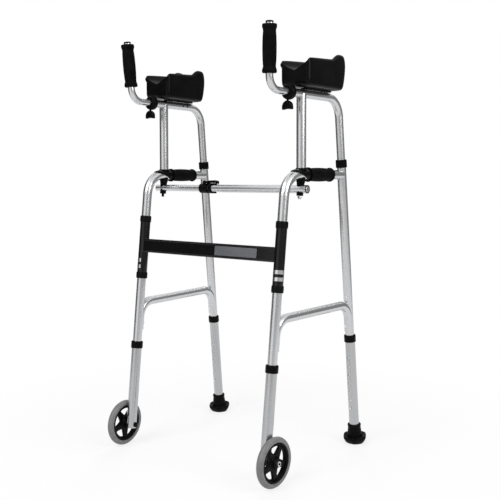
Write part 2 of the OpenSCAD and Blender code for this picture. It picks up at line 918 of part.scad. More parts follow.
brace_end = pivot_x + brace_d;
brace_tail = brace_mouth - brace_d * 2.6;

module x_bar(x0, x1, d) {
  translate([x0, 0, 0])
    rotate([0, quarter, 0])
      cylinder(d = d, h = x1 - x0);
}

module pivot_cut(s, d) {
  translate([s * pivot_x, 0, -brace_drop])
    cylinder(d = d, h = 2 * brace_drop);
}

module brace_outer_tube() {
  color([0.82, 0.83, 0.85])
    on_brace()
      difference() {
        x_bar(-brace_mouth, brace_end, brace_d);
        x_bar(-brace_mouth - over, brace_end + over, brace_bore);
        pivot_cut(1, bolt_d + 2 * fit);
      }
}

module brace_inner_tube() {
  color([0.82, 0.83, 0.85])
    on_brace()
      difference() {
        x_bar(-brace_end, -brace_tail, brace_in_d);
        x_bar(-brace_end - over, -brace_tail + over, brace_in_bore);
        pivot_cut(-1, bolt_d + 2 * seat);
      }
}

lock_d = brace_d * 1.28;
lock_gap = brace_d * 0.26;
lock_x = brace_mouth + brace_d * 0.5;
lever_t = brace_d * 0.26;
lever_w = brace_d * 0.62;
lever_z = lock_d / 2 + lever_t * 0.55;
lever_pin_x = lock_x + lock_gap + lock_l * 0.35;
lever_l = lever_pin_x - brace_mouth + brace_d * 0.67;

module brace_lock() {
  color([0.05, 0.05, 0.05])
    on_brace()
      difference() {
        union() {
          x_bar(-lock_x - lock_gap - lock_l, -lock_x - lock_gap, lock_d);
          x_bar(-lock_x, -lock_x + brace_d * 0.44, lock_d);
          for (s = [-1, 1])
            translate([-lock_x - lock_gap * 1.5, -lever_w * 0.3, s * lock_d * 0.44 - lever_t * 0.3])
              cube([lock_gap * 1.5 + brace_d * 0.94, lever_w * 0.6, lever_t * 0.6]);
          for (s = [-1, 1])
            translate([-lever_pin_x, s * (lever_w * 0.5 + lever_t * 0.6), 0])
              rotate([quarter, 0, 0])
                linear_extrude(lever_t * 0.7, center = true) {
                  translate([-lever_t * 0.75, brace_d * 0.44])
                    square([lever_t * 1.5, lever_z - brace_d * 0.44]);
                  translate([0, lever_z])
                    circle(r = lever_t * 0.75);
                }
        }
        x_bar(-lock_x - lock_gap - lock_l - over, -brace_mouth, brace_in_d + 2 * slide_gap);
        x_bar(-brace_mouth - seat, brace_mouth, brace_d + 2 * seat);
        translate([-lever_pin_x, 0, lever_z])
          rotate([quarter, 0, 0])
            cylinder(d = lever_t * 0.5 + 2 * fit, h = 2 * lock_d, center = true);
      }
}

module brace_lever() {
  color([0.05, 0.05, 0.05])
    on_brace()
      translate([-lever_pin_x, 0, lever_z])
        rotate([quarter, 0, 0]) {
          linear_extrude(lever_w, center = true) {
            circle(r = lever_t * 0.45);
            polygon([
              [0, -lever_t * 0.45], [lever_l * 0.28, -lever_t * 0.28], [lever_l * 0.62, -lever_t * 0.28],
              [lever_l * 0.72, lever_t * 0.2], [lever_l * 0.88, lever_t * 0.2],
              [lever_l * 0.94, -lever_t * 0.7],
              [lever_l, -lever_t * 0.7], [lever_l, lever_t * 0.4], [lever_l * 0.93, lever_t * 0.9],
              [lever_l * 0.4, lever_t * 0.82], [lever_l * 0.15, lever_t * 0.5], [0, lever_t * 0.45]
            ]);
          }
          cylinder(d = lever_t * 0.5, h = lever_w + lever_t * 1.8, center = true);
        }
}

module pivot_pads(s, d) {
  top = brace_drop - boss_drop - slide_gap;
  plug = brace_end + wall / 2;
  plug_in = brace_end - d * 0.4;
  plug_d = d - 2 * wall - 2 * seat;
  past = brace_end + over;
  on_brace()
    difference() {
      union() {
        translate([s * pivot_x, 0, 0])
          cylinder(d1 = boss_d * 0.78, d2 = boss_d * 0.92, h = top);
        translate([s * pivot_x, 0, -brace_d * 0.78])
          cylinder(d = boss_d * 0.78, h = brace_d * 0.78);
        x_bar(min(s * brace_end, s * (brace_end + wall)), max(s * brace_end, s * (brace_end + wall)), d);
        x_bar(min(s * plug, s * plug_in), max(s * plug, s * plug_in), plug_d);
      }
      difference() {
        x_bar(-brace_end, brace_end, d + 2 * seat);
        x_bar(min(s * past, s * plug_in), max(s * past, s * plug_in), plug_d);
      }
      pivot_cut(s, s > 0 ? bolt_d + 2 * fit : bolt_d + 2 * seat);
    }
}

module outer_pivot_pads() {
  color([0.05, 0.05, 0.05])
    pivot_pads(1, brace_d);
}

module inner_pivot_pads() {
  color([0.05, 0.05, 0.05]) {
    pivot_pads(-1, brace_in_d);
    on_brace()
      translate([-pivot_x, 0, -brace_d * 1.2])
        cylinder(d = bolt_d, h = brace_d * 1.2 + brace_drop - boss_drop - slide_gap);
  }
}

// Both sides, one module for each piece

module silver(s) {
  color([0.82, 0.83, 0.85])
    side(s)
      children();
}

module black(s) {
  color([0.05, 0.05, 0.05])
    side(s)
      children();
}

module right_front_tube() silver(1) front_tube();
module left_front_tube() silver(-1) front_tube();
module right_rear_tube() silver(1) rear_tube();
module left_rear_tube() silver(-1) rear_tube();
module right_side_bar() silver(1) side_bar();
module left_side_bar() silver(-1) side_bar();
module right_hand_grip() black(1) hand_grip();
module left_hand_grip() black(-1) hand_grip();
module right_arm_frame() silver(1) arm_frame();
module left_arm_frame() silver(-1) arm_frame();
module right_post_saddle() black(1) post_saddle();
module left_post_saddle() black(-1) post_saddle();
module right_arm_collar() black(1) arm_collar();
module left_arm_collar() black(-1) arm_collar();
module right_rod_clamp() black(1) rod_clamp();
module left_rod_clamp() black(-1) rod_clamp();
module right_pad_mount() black(1) pad_mount();
module left_pad_mount() black(-1) pad_mount();
module right_arm_pad() black(1) arm_pad();
module left_arm_pad() black(-1) arm_pad();
module right_fasteners() {
  silver(1) {
    fasteners();
    pivot_bolt();
  }
}
module left_fasteners() silver(-1) fasteners();
module right_handle_rod() silver(1) handle_rod();
module left_handle_rod() silver(-1) handle_rod();
module right_handle_grip() black(1) handle_grip();
module left_handle_grip() black(-1) handle_grip();
module right_grip_cap() black(1) grip_cap();
module left_grip_cap() black(-1) grip_cap();
module right_clamp_knob() black(1) clamp_knob();
module left_clamp_knob() black(-1) clamp_knob();
module right_front_leg() silver(1) front_leg();
module left_front_leg() silver(-1) front_leg();
module right_front_collar() black(1) front_collar();
module left_front_collar() black(-1) front_collar();
module right_wheel_axle() silver(1) wheel_axle();
module left_wheel_axle() silver(-1) wheel_axle();
module right_wheel_tyre() color([0.42, 0.43, 0.44]) side(1) wheel_tyre();
module left_wheel_tyre() color([0.42, 0.43, 0.44]) side(-1) wheel_tyre();
module right_wheel_hub() black(1) wheel_hub();
module left_wheel_hub() black(-1) wheel_hub();
module right_wheel_bush() silver(1) wheel_bush();
module left_wheel_bush() silver(-1) wheel_bush();
module right_rear_leg() silver(1) rear_leg();
module left_rear_leg() silver(-1) rear_leg();
module right_rear_collar() black(1) rear_collar();
module left_rear_collar() black(-1) rear_collar();
module right_foot() black(1) foot();
module left_foot() black(-1) foot();
module right_front_button() silver(1) front_button();
module left_front_button() silver(-1) front_button();
module right_rear_button() silver(1) rear_button();
module left_rear_button() silver(-1) rear_button();

cross_frame();
sleeve_bushes();
brace_outer_tube();
brace_inner_tube();
brace_lock();
brace_lever();
outer_pivot_pads();
inner_pivot_pads();
right_front_tube();
right_rear_tube();
right_side_bar();
right_hand_grip();
right_arm_frame();
right_post_saddle();
right_arm_collar();
right_rod_clamp();
right_pad_mount();
right_arm_pad();
right_fasteners();
right_handle_rod();
right_handle_grip();
right_grip_cap();
right_clamp_knob();
right_front_leg();
right_front_collar();
right_wheel_axle();
right_wheel_tyre();
right_wheel_hub();
right_wheel_bush();
right_rear_leg();
right_rear_collar();
right_foot();
right_front_button();
right_rear_button();
left_front_tube();
left_rear_tube();
left_side_bar();
left_hand_grip();
left_arm_frame();
left_post_saddle();
left_arm_collar();
left_rod_clamp();
left_pad_mount();
left_arm_pad();
left_fasteners();
left_handle_rod();
left_handle_grip();
left_grip_cap();
left_clamp_knob();
left_front_leg();
left_front_collar();
left_wheel_axle();
left_wheel_tyre();
left_wheel_hub();
left_wheel_bush();
left_rear_leg();
left_rear_collar();
left_foot();
left_front_button();
left_rear_button();
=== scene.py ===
import json
import math

import bmesh
import bpy
from mathutils import Matrix, Vector

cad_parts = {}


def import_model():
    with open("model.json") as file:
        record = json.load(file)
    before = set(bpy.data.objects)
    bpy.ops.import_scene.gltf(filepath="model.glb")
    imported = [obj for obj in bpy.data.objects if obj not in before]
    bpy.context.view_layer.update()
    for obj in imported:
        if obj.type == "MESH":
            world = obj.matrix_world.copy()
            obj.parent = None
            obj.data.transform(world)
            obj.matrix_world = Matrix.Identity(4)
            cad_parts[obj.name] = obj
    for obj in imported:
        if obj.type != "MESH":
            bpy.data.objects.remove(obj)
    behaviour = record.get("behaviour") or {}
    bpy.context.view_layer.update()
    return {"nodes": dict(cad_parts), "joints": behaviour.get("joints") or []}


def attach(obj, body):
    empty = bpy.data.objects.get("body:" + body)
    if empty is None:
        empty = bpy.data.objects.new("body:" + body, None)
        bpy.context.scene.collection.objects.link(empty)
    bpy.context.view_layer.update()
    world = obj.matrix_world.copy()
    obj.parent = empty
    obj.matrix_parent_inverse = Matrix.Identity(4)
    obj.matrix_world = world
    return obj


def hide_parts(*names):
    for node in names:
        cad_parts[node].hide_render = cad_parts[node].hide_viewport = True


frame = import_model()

# Sizes of the walker in millimetres, as the frame has them
MM = 0.001
SIDES = {"right": 1, "left": -1}
FRONT_W = 482.0
AXLE_H = 65.0
BASE_L = 424.0
HAND_H = 784.0
ARM_H = 991.0
FRONT_LEAN = math.radians(6.6)
REAR_LEAN = math.radians(5.9)
TOE = math.radians(2.4)
FRAME_D = 25.4
LOWER_D = 28.6
ARM_D = 22.2
ROD_D = 18.6
BOLT_D = 7.6
WALL = 1.3
SLIDE_GAP = 0.3
HAND_BEND_R = 62.0
FRONT_LOW_H = 299.0
REAR_LOW_H = 320.0
REAR_TOP_H = HAND_H + FRAME_D * 1.5
COLLAR_L = FRAME_D * 0.95
COLLAR_D = LOWER_D + FRAME_D * 0.2
POST_U = 150.62
HAND_U0 = 138.43
GRIP_L = 122.0
GRIP_D = 36.0
HAND_GRIP_U = POST_U + FRAME_D * 1.03
HAND_GRIP_L = GRIP_L * 0.878
HAND_GRIP_D = GRIP_D * 1.07
ROD_TURN = math.radians(3.0)
GRIP_U = 17.91
GRIP_LEAN = math.radians(3.4)
GRIP_LO = 32.40
ROD_TOP = 157.38
CLAMP_U = 87.32
CLAMP_L = FRAME_D * 0.8
CLAMP_D = FRAME_D * 1.58
PAD_U = POST_U - FRAME_D * 1.24
PAD_Z = 1010.53
PAD_L = 182.0
PAD_W = 92.0
PAD_TALL = 93.0
WHEEL_D = 130.0
TYRE_W = 20.0
RIM_R = WHEEL_D * 0.395
HUB_W = TYRE_W * 1.04
WHEEL_OFF = 26.73
SPOKES = 5
FOOT_D = 70.0
FOOT_RIM_H = 20.0
FOOT_H = 57.0
FOOT_LOBES = 6
SLEEVE_L = 147.0
SLEEVE_LO = SLEEVE_L * 0.534
SLEEVE_D = FRAME_D * 1.12
SLEEVE_GAP = 0.5
BUSH_D = FRAME_D * 1.26
BUSH_L = FRAME_D * 0.72
BUSH_GAP = 0.15
BAR_H = 581.0
BAR_TALL = 39.0
BAR_THICK = 25.0
BOSS_D = FRAME_D * 0.9
BOSS_DROP = 20.62
BRACE_D = 21.8
BRACE_PIVOT_X = 243.805
BRACE_END = BRACE_PIVOT_X + BRACE_D + WALL
BRACE_Y = -50.06
BRACE_Z = 746.26

# a form that sits on a solid stands off it by this
SEAT = 0.05
# a radius below this is a pole of a turned form
POLE = 1e-6
# points nearer than this are one point, in metres
MERGE = 2e-6

JOINTS = {joint["name"]: joint for joint in frame["joints"]}
FOLD_AT = Vector(JOINTS["right_fold"]["pos_m"]) / MM
FOLD_AXIS = Vector((0.0, math.sin(FRONT_LEAN), math.cos(FRONT_LEAN)))
MID_Y = -FOLD_AT.y


# Places

def side_matrix(sign):
    """x outward, y back from the front axle, z up, in millimetres, to the frame's metres."""
    place = Matrix.Translation((FRONT_W / 2, -MID_Y, AXLE_H))
    place = place @ Matrix.Rotation(-TOE, 4, FOLD_AXIS) @ Matrix.Translation((0, 0, -AXLE_H))
    return Matrix.Diagonal((sign * MM, MM, MM, 1)) @ place


def at(x, y, z):
    return Matrix.Translation((x, y, z))


def front_at(z):
    return (z - AXLE_H) * math.tan(FRONT_LEAN)


def rear_at(z):
    return BASE_L - z * math.tan(REAR_LEAN)


def on_front(z):
    return at(0, front_at(z), z) @ Matrix.Rotation(-FRONT_LEAN, 4, "X")


def on_rear(z):
    return at(0, rear_at(z), z) @ Matrix.Rotation(REAR_LEAN, 4, "X")


def on_grip(s):
    """A place on the upright end of the handle rod, this far above the arm tube's axis."""
    turned = at(0, 0, ARM_H) @ Matrix.Rotation(ROD_TURN, 4, "Y") @ at(0, 0, -ARM_H)
    place = at(0, GRIP_U - s * math.sin(GRIP_LEAN), ARM_H + s * math.cos(GRIP_LEAN))
    return turned @ place @ Matrix.Rotation(GRIP_LEAN, 4, "X")


ALONG_Y = Matrix.Rotation(-math.pi / 2, 4, "X")
ALONG_X = Matrix.Rotation(math.pi / 2, 4, "Y")
UPRIGHT = Matrix.Rotation(math.pi / 2, 4, "X")


# Mesh tools

# a corner's curve takes at most this share of an edge
CORNER_SHARE = 0.48


def rounded(points, radius, closed=False, steps=4):
    """An outline with each corner turned into a curve of about this radius."""
    points = [Vector(p) for p in points]
    out = []
    for i, p in enumerate(points):
        if not closed and i in (0, len(points) - 1):
            out.append(p)
            continue
        before, after = points[i - 1], points[(i + 1) % len(points)]
        start = p + (before - p).normalized() * min(radius, (before - p).length * CORNER_SHARE)
        end = p + (after - p).normalized() * min(radius, (after - p).length * CORNER_SHARE)
        for k in range(steps + 1):
            t = k / steps
            out.append(start.lerp(p, t).lerp(p.lerp(end, t), t))
    return out


def stitch(rings, closed=False):
    """Faces between rings of vertex numbers; a ring of one vertex is a pole."""
    faces = []
    pairs = list(zip(rings, rings[1:]))
    if closed:
        pairs.append((rings[-1], rings[0]))
    for low, high in pairs:
        count = max(len(low), len(high))
        for k in range(count):
            j = (k + 1) % count
            face = [low[k % len(low)], low[j % len(low)], high[j % len(high)], high[k % len(high)]]
            faces.append(list(dict.fromkeys(face)))
    return faces


def lathe(profile, count=48, factor=None, closed=False):
    """A profile of radius and height turned about z; factor(angle, radius, height) shapes the round."""
    verts, rings = [], []
    for r, h in profile:
        turns = 1 if r < POLE else count
        ring = []
        for k in range(turns):
            a = 2 * math.pi * k / count
            f = factor(a, r, h) if factor else 1
            ring.append(len(verts))
            verts.append(Vector((r * f * math.cos(a), r * f * math.sin(a), h)))
        rings.append(ring)
    return verts, stitch(rings, closed)


def turned_ring(points, edge, count=48):
    """A closed profile round a bore, with its corners rounded."""
    return lathe(rounded(points, edge, closed=True), count, closed=True)


def turned_solid(points, edge, count=48):
    """A profile from pole to pole, with its corners rounded."""
    return lathe(rounded(points, edge), count)


def both_ways(profile):
    """A profile of radius and height below zero, and its mirror image above."""
    return profile + [(r, -h) for r, h in reversed(profile)]


def loft(sections, capped=True):
    """Rings of points joined one to the next, and closed at both ends if capped."""
    verts, rings = [], []
    for section in sections:
        rings.append(list(range(len(verts), len(verts) + len(section))))
        verts.extend(Vector(p) for p in section)
    faces = stitch(rings)
    if capped:
        faces.append(list(reversed(rings[0])))
        faces.append(rings[-1])
    return verts, faces


def plate(outline, thickness, bevel, holes=()):
    """A flat outline with holes, thickened along z and rounded at its edges."""
    curve = bpy.data.curves.new("plate", "CURVE")
    curve.dimensions = "2D"
    curve.fill_mode = "BOTH"
    curve.extrude = thickness / 2 - bevel
    curve.bevel_depth = bevel
    curve.bevel_resolution = 2
    curve.offset = -bevel
    for points in [outline, *holes]:
        spline = curve.splines.new("POLY")
        spline.points.add(len(points) - 1)
        for knot, p in zip(spline.points, points):
            knot.co = (p[0], p[1], 0, 1)
        spline.use_cyclic_u = True
    holder = bpy.data.objects.new("plate", curve)
    mesh = bpy.data.meshes.new_from_object(holder)
    verts = [v.co.copy() for v in mesh.vertices]
    faces = [list(p.vertices) for p in mesh.polygons]
    bpy.data.objects.remove(holder)
    bpy.data.curves.remove(curve)
    bpy.data.meshes.remove(mesh)
    return verts, faces


def ring_of(radius, count):
    turns = [2 * math.pi * k / count for k in range(count)]
    return [(radius * math.cos(a), radius * math.sin(a)) for a in turns]


def moved(shape, matrix):
    verts, faces = shape
    return [matrix @ Vector(v) for v in verts], faces


def joined(*shapes):
    verts, faces = [], []
    for shape_verts, shape_faces in shapes:
        start = len(verts)
        verts.extend(shape_verts)
        faces.extend([[start + i for i in face] for face in shape_faces])
    return verts, faces


def shown(name, data):
    """A new object in the scene."""
    obj = bpy.data.objects.new(name, data)
    bpy.context.scene.collection.objects.link(obj)
    return obj


def piece(name, shape, matrix, material, body, node=None, sharp=38, levels=0):
    """An object made of a shape, riding on a body, in place of a node where one is named."""
    verts, faces = moved(shape, matrix)
    mesh = bpy.data.meshes.new(name)
    mesh.from_pydata(verts, [], faces)
    work = bmesh.new()
    work.from_mesh(mesh)
    bmesh.ops.remove_doubles(work, verts=work.verts, dist=MERGE)
    bmesh.ops.recalc_face_normals(work, faces=work.faces)
    work.to_mesh(mesh)
    work.free()
    mesh.polygons.foreach_set("use_smooth", [True] * len(mesh.polygons))
    if sharp:
        mesh.set_sharp_from_angle(angle=math.radians(sharp))
    mesh.materials.append(material)
    obj = shown(name, mesh)
    if levels:
        smooth = obj.modifiers.new("rounding", "SUBSURF")
        smooth.levels = levels
        smooth.render_levels = levels
    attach(obj, body)
    if node:
        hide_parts(node)
    return obj


# Materials

# the part of a noise's range that colours and roughness are spread over
NOISE_LOW = 0.3
NOISE_HIGH = 0.7
EDGE_SAMPLES = 4


def maths(tree, operation, first, second):
    """The result of a math node fed by two sockets."""
    node = tree.nodes.new("ShaderNodeMath")
    node.operation = operation
    tree.links.new(first, node.inputs[0])
    tree.links.new(second, node.inputs[1])
    return node.outputs[0]


class Finish:
    """A node material with helpers for procedural detail in the object's own coordinates."""

    def __init__(self, name):
        self.mat = bpy.data.materials.new(name)
        self.mat.use_nodes = True
        self.tree = self.mat.node_tree
        self.nodes = self.tree.nodes
        self.links = self.tree.links
        self.shader = self.nodes["Principled BSDF"]
        self.surface = self.nodes["Material Output"].inputs["Surface"]
        self.coord = self.nodes.new("ShaderNodeTexCoord").outputs["Object"]

    def set(self, **values):
        for key, value in values.items():
            self.shader.inputs[key.replace("_", " ")].default_value = value

    def noise(self, scale, detail=3.0, stretch=(1, 1, 1)):
        place = self.nodes.new("ShaderNodeMapping")
        place.inputs["Scale"].default_value = stretch
        self.links.new(self.coord, place.inputs["Vector"])
        tex = self.nodes.new("ShaderNodeTexNoise")
        tex.inputs["Scale"].default_value = scale
        tex.inputs["Detail"].default_value = detail
        self.links.new(place.outputs["Vector"], tex.inputs["Vector"])
        return tex.outputs["Fac"]

    def cells(self, scale):
        tex = self.nodes.new("ShaderNodeTexVoronoi")
        tex.inputs["Scale"].default_value = scale
        self.links.new(self.coord, tex.inputs["Vector"])
        return tex.outputs["Distance"]

    def colours(self, source, low, high):
        ramp = self.nodes.new("ShaderNodeValToRGB")
        first, last = ramp.color_ramp.elements
        first.position, first.color = NOISE_LOW, (*low, 1)
        last.position, last.color = NOISE_HIGH, (*high, 1)
        self.links.new(source, ramp.inputs["Fac"])
        self.links.new(ramp.outputs["Color"], self.shader.inputs["Base Color"])

    def roughness(self, source, low, high):
        span = self.nodes.new("ShaderNodeMapRange")
        span.inputs["From Min"].default_value = NOISE_LOW
        span.inputs["From Max"].default_value = NOISE_HIGH
        span.inputs["To Min"].default_value = low
        span.inputs["To Max"].default_value = high
        self.links.new(source, span.inputs["Value"])
        self.links.new(span.outputs["Result"], self.shader.inputs["Roughness"])

    def bump(self, source, strength, distance, under=None):
        node = self.nodes.new("ShaderNodeBump")
        node.inputs["Strength"].default_value = strength
        node.inputs["Distance"].default_value = distance
        self.links.new(source, node.inputs["Height"])
        if under:
            self.links.new(under, node.inputs["Normal"])
        self.links.new(node.outputs["Normal"], self.shader.inputs["Normal"])
        return node.outputs["Normal"]

    def flat(self):
        """The colour glows as it is written, as emission without any light on it, and paints what reflections
        see.
        """
        glow = self.nodes.new("ShaderNodeEmission")
        source = self.shader.inputs["Base Color"].links[0].from_socket
        self.links.new(source, glow.inputs["Color"])
        self.links.new(glow.outputs["Emission"], self.surface)

    def soft_edges(self, radius):
        node = self.nodes.new("ShaderNodeBevel")
        node.samples = EDGE_SAMPLES
        node.inputs["Radius"].default_value = radius
        return node.outputs["Normal"]


BLACK = (0.001, 0.001, 0.0011)
WORN_BLACK = (0.003, 0.003, 0.0032)


def aluminium(name, low, high):
    f = Finish(name)
    f.set(Metallic=1.0)
    cloud = f.noise(scale=9, detail=4)
    drawn = f.noise(scale=70, detail=2, stretch=(14, 14, 0.5))
    f.colours(cloud, low, high)
    f.roughness(drawn, low=0.24, high=0.29)
    f.bump(cloud, strength=0.01, distance=0.0002)
    return f.mat


def bright_steel():
    f = Finish("bright_steel")
    f.set(Metallic=1.0)
    f.colours(f.noise(scale=220), low=(0.6, 0.6, 0.61), high=(0.78, 0.78, 0.79))
    f.roughness(f.noise(scale=400, detail=2), low=0.14, high=0.3)
    f.bump(f.noise(scale=900, detail=2), strength=0.06, distance=0.0002)
    return f.mat


def black_paint():
    f = Finish("black_paint")
    f.set(Specular_IOR_Level=0.35)
    f.colours(f.noise(scale=14, detail=4), low=BLACK, high=(0.0025, 0.0025, 0.0027))
    f.roughness(f.noise(scale=60), low=0.12, high=0.18)
    f.bump(f.noise(scale=260, detail=2), strength=0.04, distance=0.0002, under=f.soft_edges(radius=0.0012))
    return f.mat


def moulded_plastic(name, low, high, rough, grain=520, spread=0.06):
    f = Finish(name)
    f.set(Specular_IOR_Level=0.06)
    f.colours(f.noise(scale=30, detail=4), low, high)
    f.roughness(f.noise(scale=90), low=rough - spread, high=rough + spread)
    f.bump(f.noise(scale=grain), strength=0.12, distance=0.0003, under=f.soft_edges(radius=0.0008))
    return f.mat


def skinned_foam():
    f = Finish("skinned_foam")
    f.set(Specular_IOR_Level=0.1)
    f.colours(f.noise(scale=26, detail=4), low=BLACK, high=WORN_BLACK)
    f.roughness(f.noise(scale=40), low=0.26, high=0.36)
    pores = f.bump(f.cells(scale=1100), strength=0.08, distance=0.0003)
    f.bump(f.noise(scale=55), strength=0.06, distance=0.001, under=pores)
    return f.mat


def grip_foam():
    f = Finish("grip_foam")
    f.set(Specular_IOR_Level=0.04)
    f.colours(f.noise(scale=60, detail=4), low=BLACK, high=(0.004, 0.004, 0.0042))
    f.roughness(f.noise(scale=120), low=0.5, high=0.68)
    f.bump(f.cells(scale=1500), strength=0.2, distance=0.0004)
    return f.mat


def tyre_rubber():
    f = Finish("grey_tyre")
    f.set(Specular_IOR_Level=0.4)
    f.colours(f.noise(scale=45, detail=5), low=(0.15, 0.15, 0.152), high=(0.2, 0.2, 0.202))
    f.roughness(f.noise(scale=70), low=0.4, high=0.52)
    f.bump(f.noise(scale=480, detail=4), strength=0.16, distance=0.0004)
    return f.mat


def bare_plate():
    f = Finish("grey_plate")
    f.colours(f.noise(scale=18), low=(0.09, 0.093, 0.102), high=(0.12, 0.123, 0.135))
    f.roughness(f.noise(scale=80, detail=2), low=0.4, high=0.5)
    f.bump(f.noise(scale=600, detail=2), strength=0.05, distance=0.0002)
    return f.mat


# share of plain white in the floor, by the distance from the middle in metres
FLOOR_FADE = {"From Min": 0.45, "From Max": 1.1, "To Min": 0.78, "To Max": 1.0}


def floor_paper():
    """White paper that takes shadows; the camera and reflections see it mixed with plain white."""
    f = Finish("floor_paper")
    f.set(Roughness=0.9, Specular_IOR_Level=0.1)
    f.colours(f.noise(scale=1.2, detail=2), low=(0.86, 0.86, 0.86), high=(0.9, 0.9, 0.9))
    far = f.nodes.new("ShaderNodeVectorMath")
    far.operation = "LENGTH"
    fade = f.nodes.new("ShaderNodeMapRange")
    for key, value in FLOOR_FADE.items():
        fade.inputs[key].default_value = value
    f.links.new(f.coord, far.inputs[0])
    f.links.new(far.outputs["Value"], fade.inputs["Value"])
    path = f.nodes.new("ShaderNodeLightPath").outputs
    seen = maths(f.tree, "MAXIMUM", path["Is Camera Ray"], path["Is Glossy Ray"])
    share = maths(f.tree, "MULTIPLY", seen, fade.outputs["Result"])
    white = f.nodes.new("ShaderNodeEmission")
    mix = f.nodes.new("ShaderNodeMixShader")
    f.links.new(share, mix.inputs["Fac"])
    f.links.new(f.shader.outputs["BSDF"], mix.inputs[1])
    f.links.new(white.outputs["Emission"], mix.inputs[2])
    f.links.new(mix.outputs["Shader"], f.surface)
    return f.mat


ALU = aluminium("aluminium_tube", low=(0.60, 0.605, 0.615), high=(0.64, 0.645, 0.655))
# a darker copy of the aluminium for the lower legs: painted shade that stands in for the grey they show
SHADED_LOWER_ALU = aluminium("painted_shade_tube", low=(0.46, 0.464, 0.472), high=(0.49, 0.494, 0.502))
STEEL = bright_steel()
PAINT = black_paint()
PLASTIC = moulded_plastic("black_plastic", BLACK, WORN_BLACK, rough=0.32)
HUB = moulded_plastic("hub_plastic", BLACK, WORN_BLACK, rough=0.36)
RUBBER = moulded_plastic("black_rubber", (0.001, 0.001, 0.001), (0.003, 0.003, 0.003), rough=0.42, grain=700)
BUSH = moulded_plastic("bush_plastic", WORN_BLACK, (0.006, 0.006, 0.0064), rough=0.4)
FOAM = skinned_foam()
GRIP = grip_foam()
TYRE = tyre_rubber()
PLATE = bare_plate()

FINISH_OF_SLOT = {
    "aluminium_tube": ALU, "black_plastic": PLASTIC, "black_paint": PAINT, "black_foam": FOAM,
    "grip_foam": GRIP, "black_rubber": RUBBER, "grey_tyre": TYRE, "hub_plastic": HUB, "bright_steel": STEEL,
}
LOWER_TUBES = ("front_leg", "rear_leg")


def dress_nodes():
    """Each solid of the frame takes the finish of its slot, and the lower legs a darker copy of the
    aluminium, which is painted shade.
    """
    for name, node in frame["nodes"].items():
        for holder in node.material_slots:
            slot = holder.material.name.split(".")[0] if holder.material else ""
            holder.material = SHADED_LOWER_ALU if name.endswith(LOWER_TUBES) else FINISH_OF_SLOT.get(slot, PLASTIC)
        if not node.material_slots:
            node.data.materials.append(PLASTIC)


# Forearm pad

# along the length: half width, underside, wall top, trough floor and trough half width, as shares
PAD_STATION_SHARES = [
    (0.000, 0.485, 0.000, 0.700, 0.440, 0.440),
    (0.050, 0.490, -0.030, 0.705, 0.440, 0.435),
    (0.100, 0.495, -0.055, 0.715, 0.440, 0.425),
    (0.180, 0.498, -0.055, 0.730, 0.438, 0.400),
    (0.300, 0.500, -0.055, 0.745, 0.434, 0.375),
    (0.420, 0.500, -0.055, 0.760, 0.430, 0.360),
    (0.540, 0.500, -0.055, 0.775, 0.426, 0.352),
    (0.610, 0.500, -0.055, 0.785, 0.422, 0.348),
    (0.650, 0.500, -0.055, 0.815, 0.420, 0.348),
    (0.700, 0.500, -0.055, 0.890, 0.418, 0.348),
    (0.740, 0.500, -0.055, 0.930, 0.416, 0.348),
    (0.790, 0.500, -0.055, 0.952, 0.414, 0.348),
    (0.850, 0.500, -0.055, 0.955, 0.412, 0.348),
    (0.920, 0.495, -0.050, 0.950, 0.412, 0.345),
    (1.000, 0.480, -0.040, 0.915, 0.412, 0.340),
]
# least share of the length between a station and a rounded end
STATION_GAP = 0.01
FRONT_ROUND = 10.0
REAR_ROUND = 13.0
ROUND_STEPS = 4
# the trough and its floor follow the rounding of the ends by these shares
INNER_INSET = 0.7
TROUGH_INSET = 0.6
# the rear face leans in below and above, over the last part of the length
REAR_TUCK = 18.0
TOP_TUCK = 12.0
TUCK_FROM = 0.72
TUCK_CURVE = 1.6


def pad_station(t):
    """The sizes across the pad at this share of its length."""
    for low, high in zip(PAD_STATION_SHARES, PAD_STATION_SHARES[1:]):
        if t <= high[0]:
            f = (t - low[0]) / (high[0] - low[0])
            return [a + (b - a) * f for a, b in zip(low[1:], high[1:])]
    return list(PAD_STATION_SHARES[-1][1:])


def pad_section(t, inset):
    """One ring across the pad, from the middle of the underside round to the trough and back."""
    half, low, top, trough, inner = pad_station(t)
    half = half * PAD_W - inset
    inner = inner * PAD_W + inset * INNER_INSET
    low = low * PAD_TALL + inset
    top = top * PAD_TALL - inset
    trough = trough * PAD_TALL - inset * TROUGH_INSET
    tall, deep, wall = top - low, top - trough, half - inner
    right = [
        (half * 0.45, low), (half * 0.8, low), (half * 0.95, low + tall * 0.03),
        (half, low + tall * 0.14), (half, low + tall * 0.45), (half, low + tall * 0.72),
        (half, top - tall * 0.12), (half - wall * 0.12, top - tall * 0.025), (half - wall * 0.42, top),
        (inner + wall * 0.2, top - deep * 0.04), (inner - wall * 0.02, top - deep * 0.22),
        (inner * 0.93, trough + deep * 0.5), (inner * 0.76, trough + deep * 0.2),
        (inner * 0.42, trough + deep * 0.04),
    ]
    left = [(-x, z) for x, z in reversed(right)]
    far = max(0.0, (t - TUCK_FROM) / (1 - TUCK_FROM))
    out = []
    for x, z in [(0, low)] + right + [(0, trough)] + left:
        up = (z - low) / tall
        tuck = REAR_TUCK * (1 - up) ** TUCK_CURVE + TOP_TUCK * max(0.0, 2 * up - 1) ** 2
        out.append((x, t * PAD_L - far * tuck, z))
    return out


def pad_edge(radius):
    """Shares of the length from an end, and the insets there that round it."""
    quarter = [k * math.pi / 2 / ROUND_STEPS for k in range(ROUND_STEPS + 1)]
    return [(radius * (1 - math.cos(a)) / PAD_L, radius * (1 - math.sin(a))) for a in quarter]


def pad_sections():
    front = pad_edge(FRONT_ROUND)
    rear = [(1 - t, inset) for t, inset in reversed(pad_edge(REAR_ROUND))]
    first, last = front[-1][0] + STATION_GAP, rear[0][0] - STATION_GAP
    middle = [(row[0], 0.0) for row in PAD_STATION_SHARES if first < row[0] < last]
    return [pad_section(*stop) for stop in front + middle + rear]


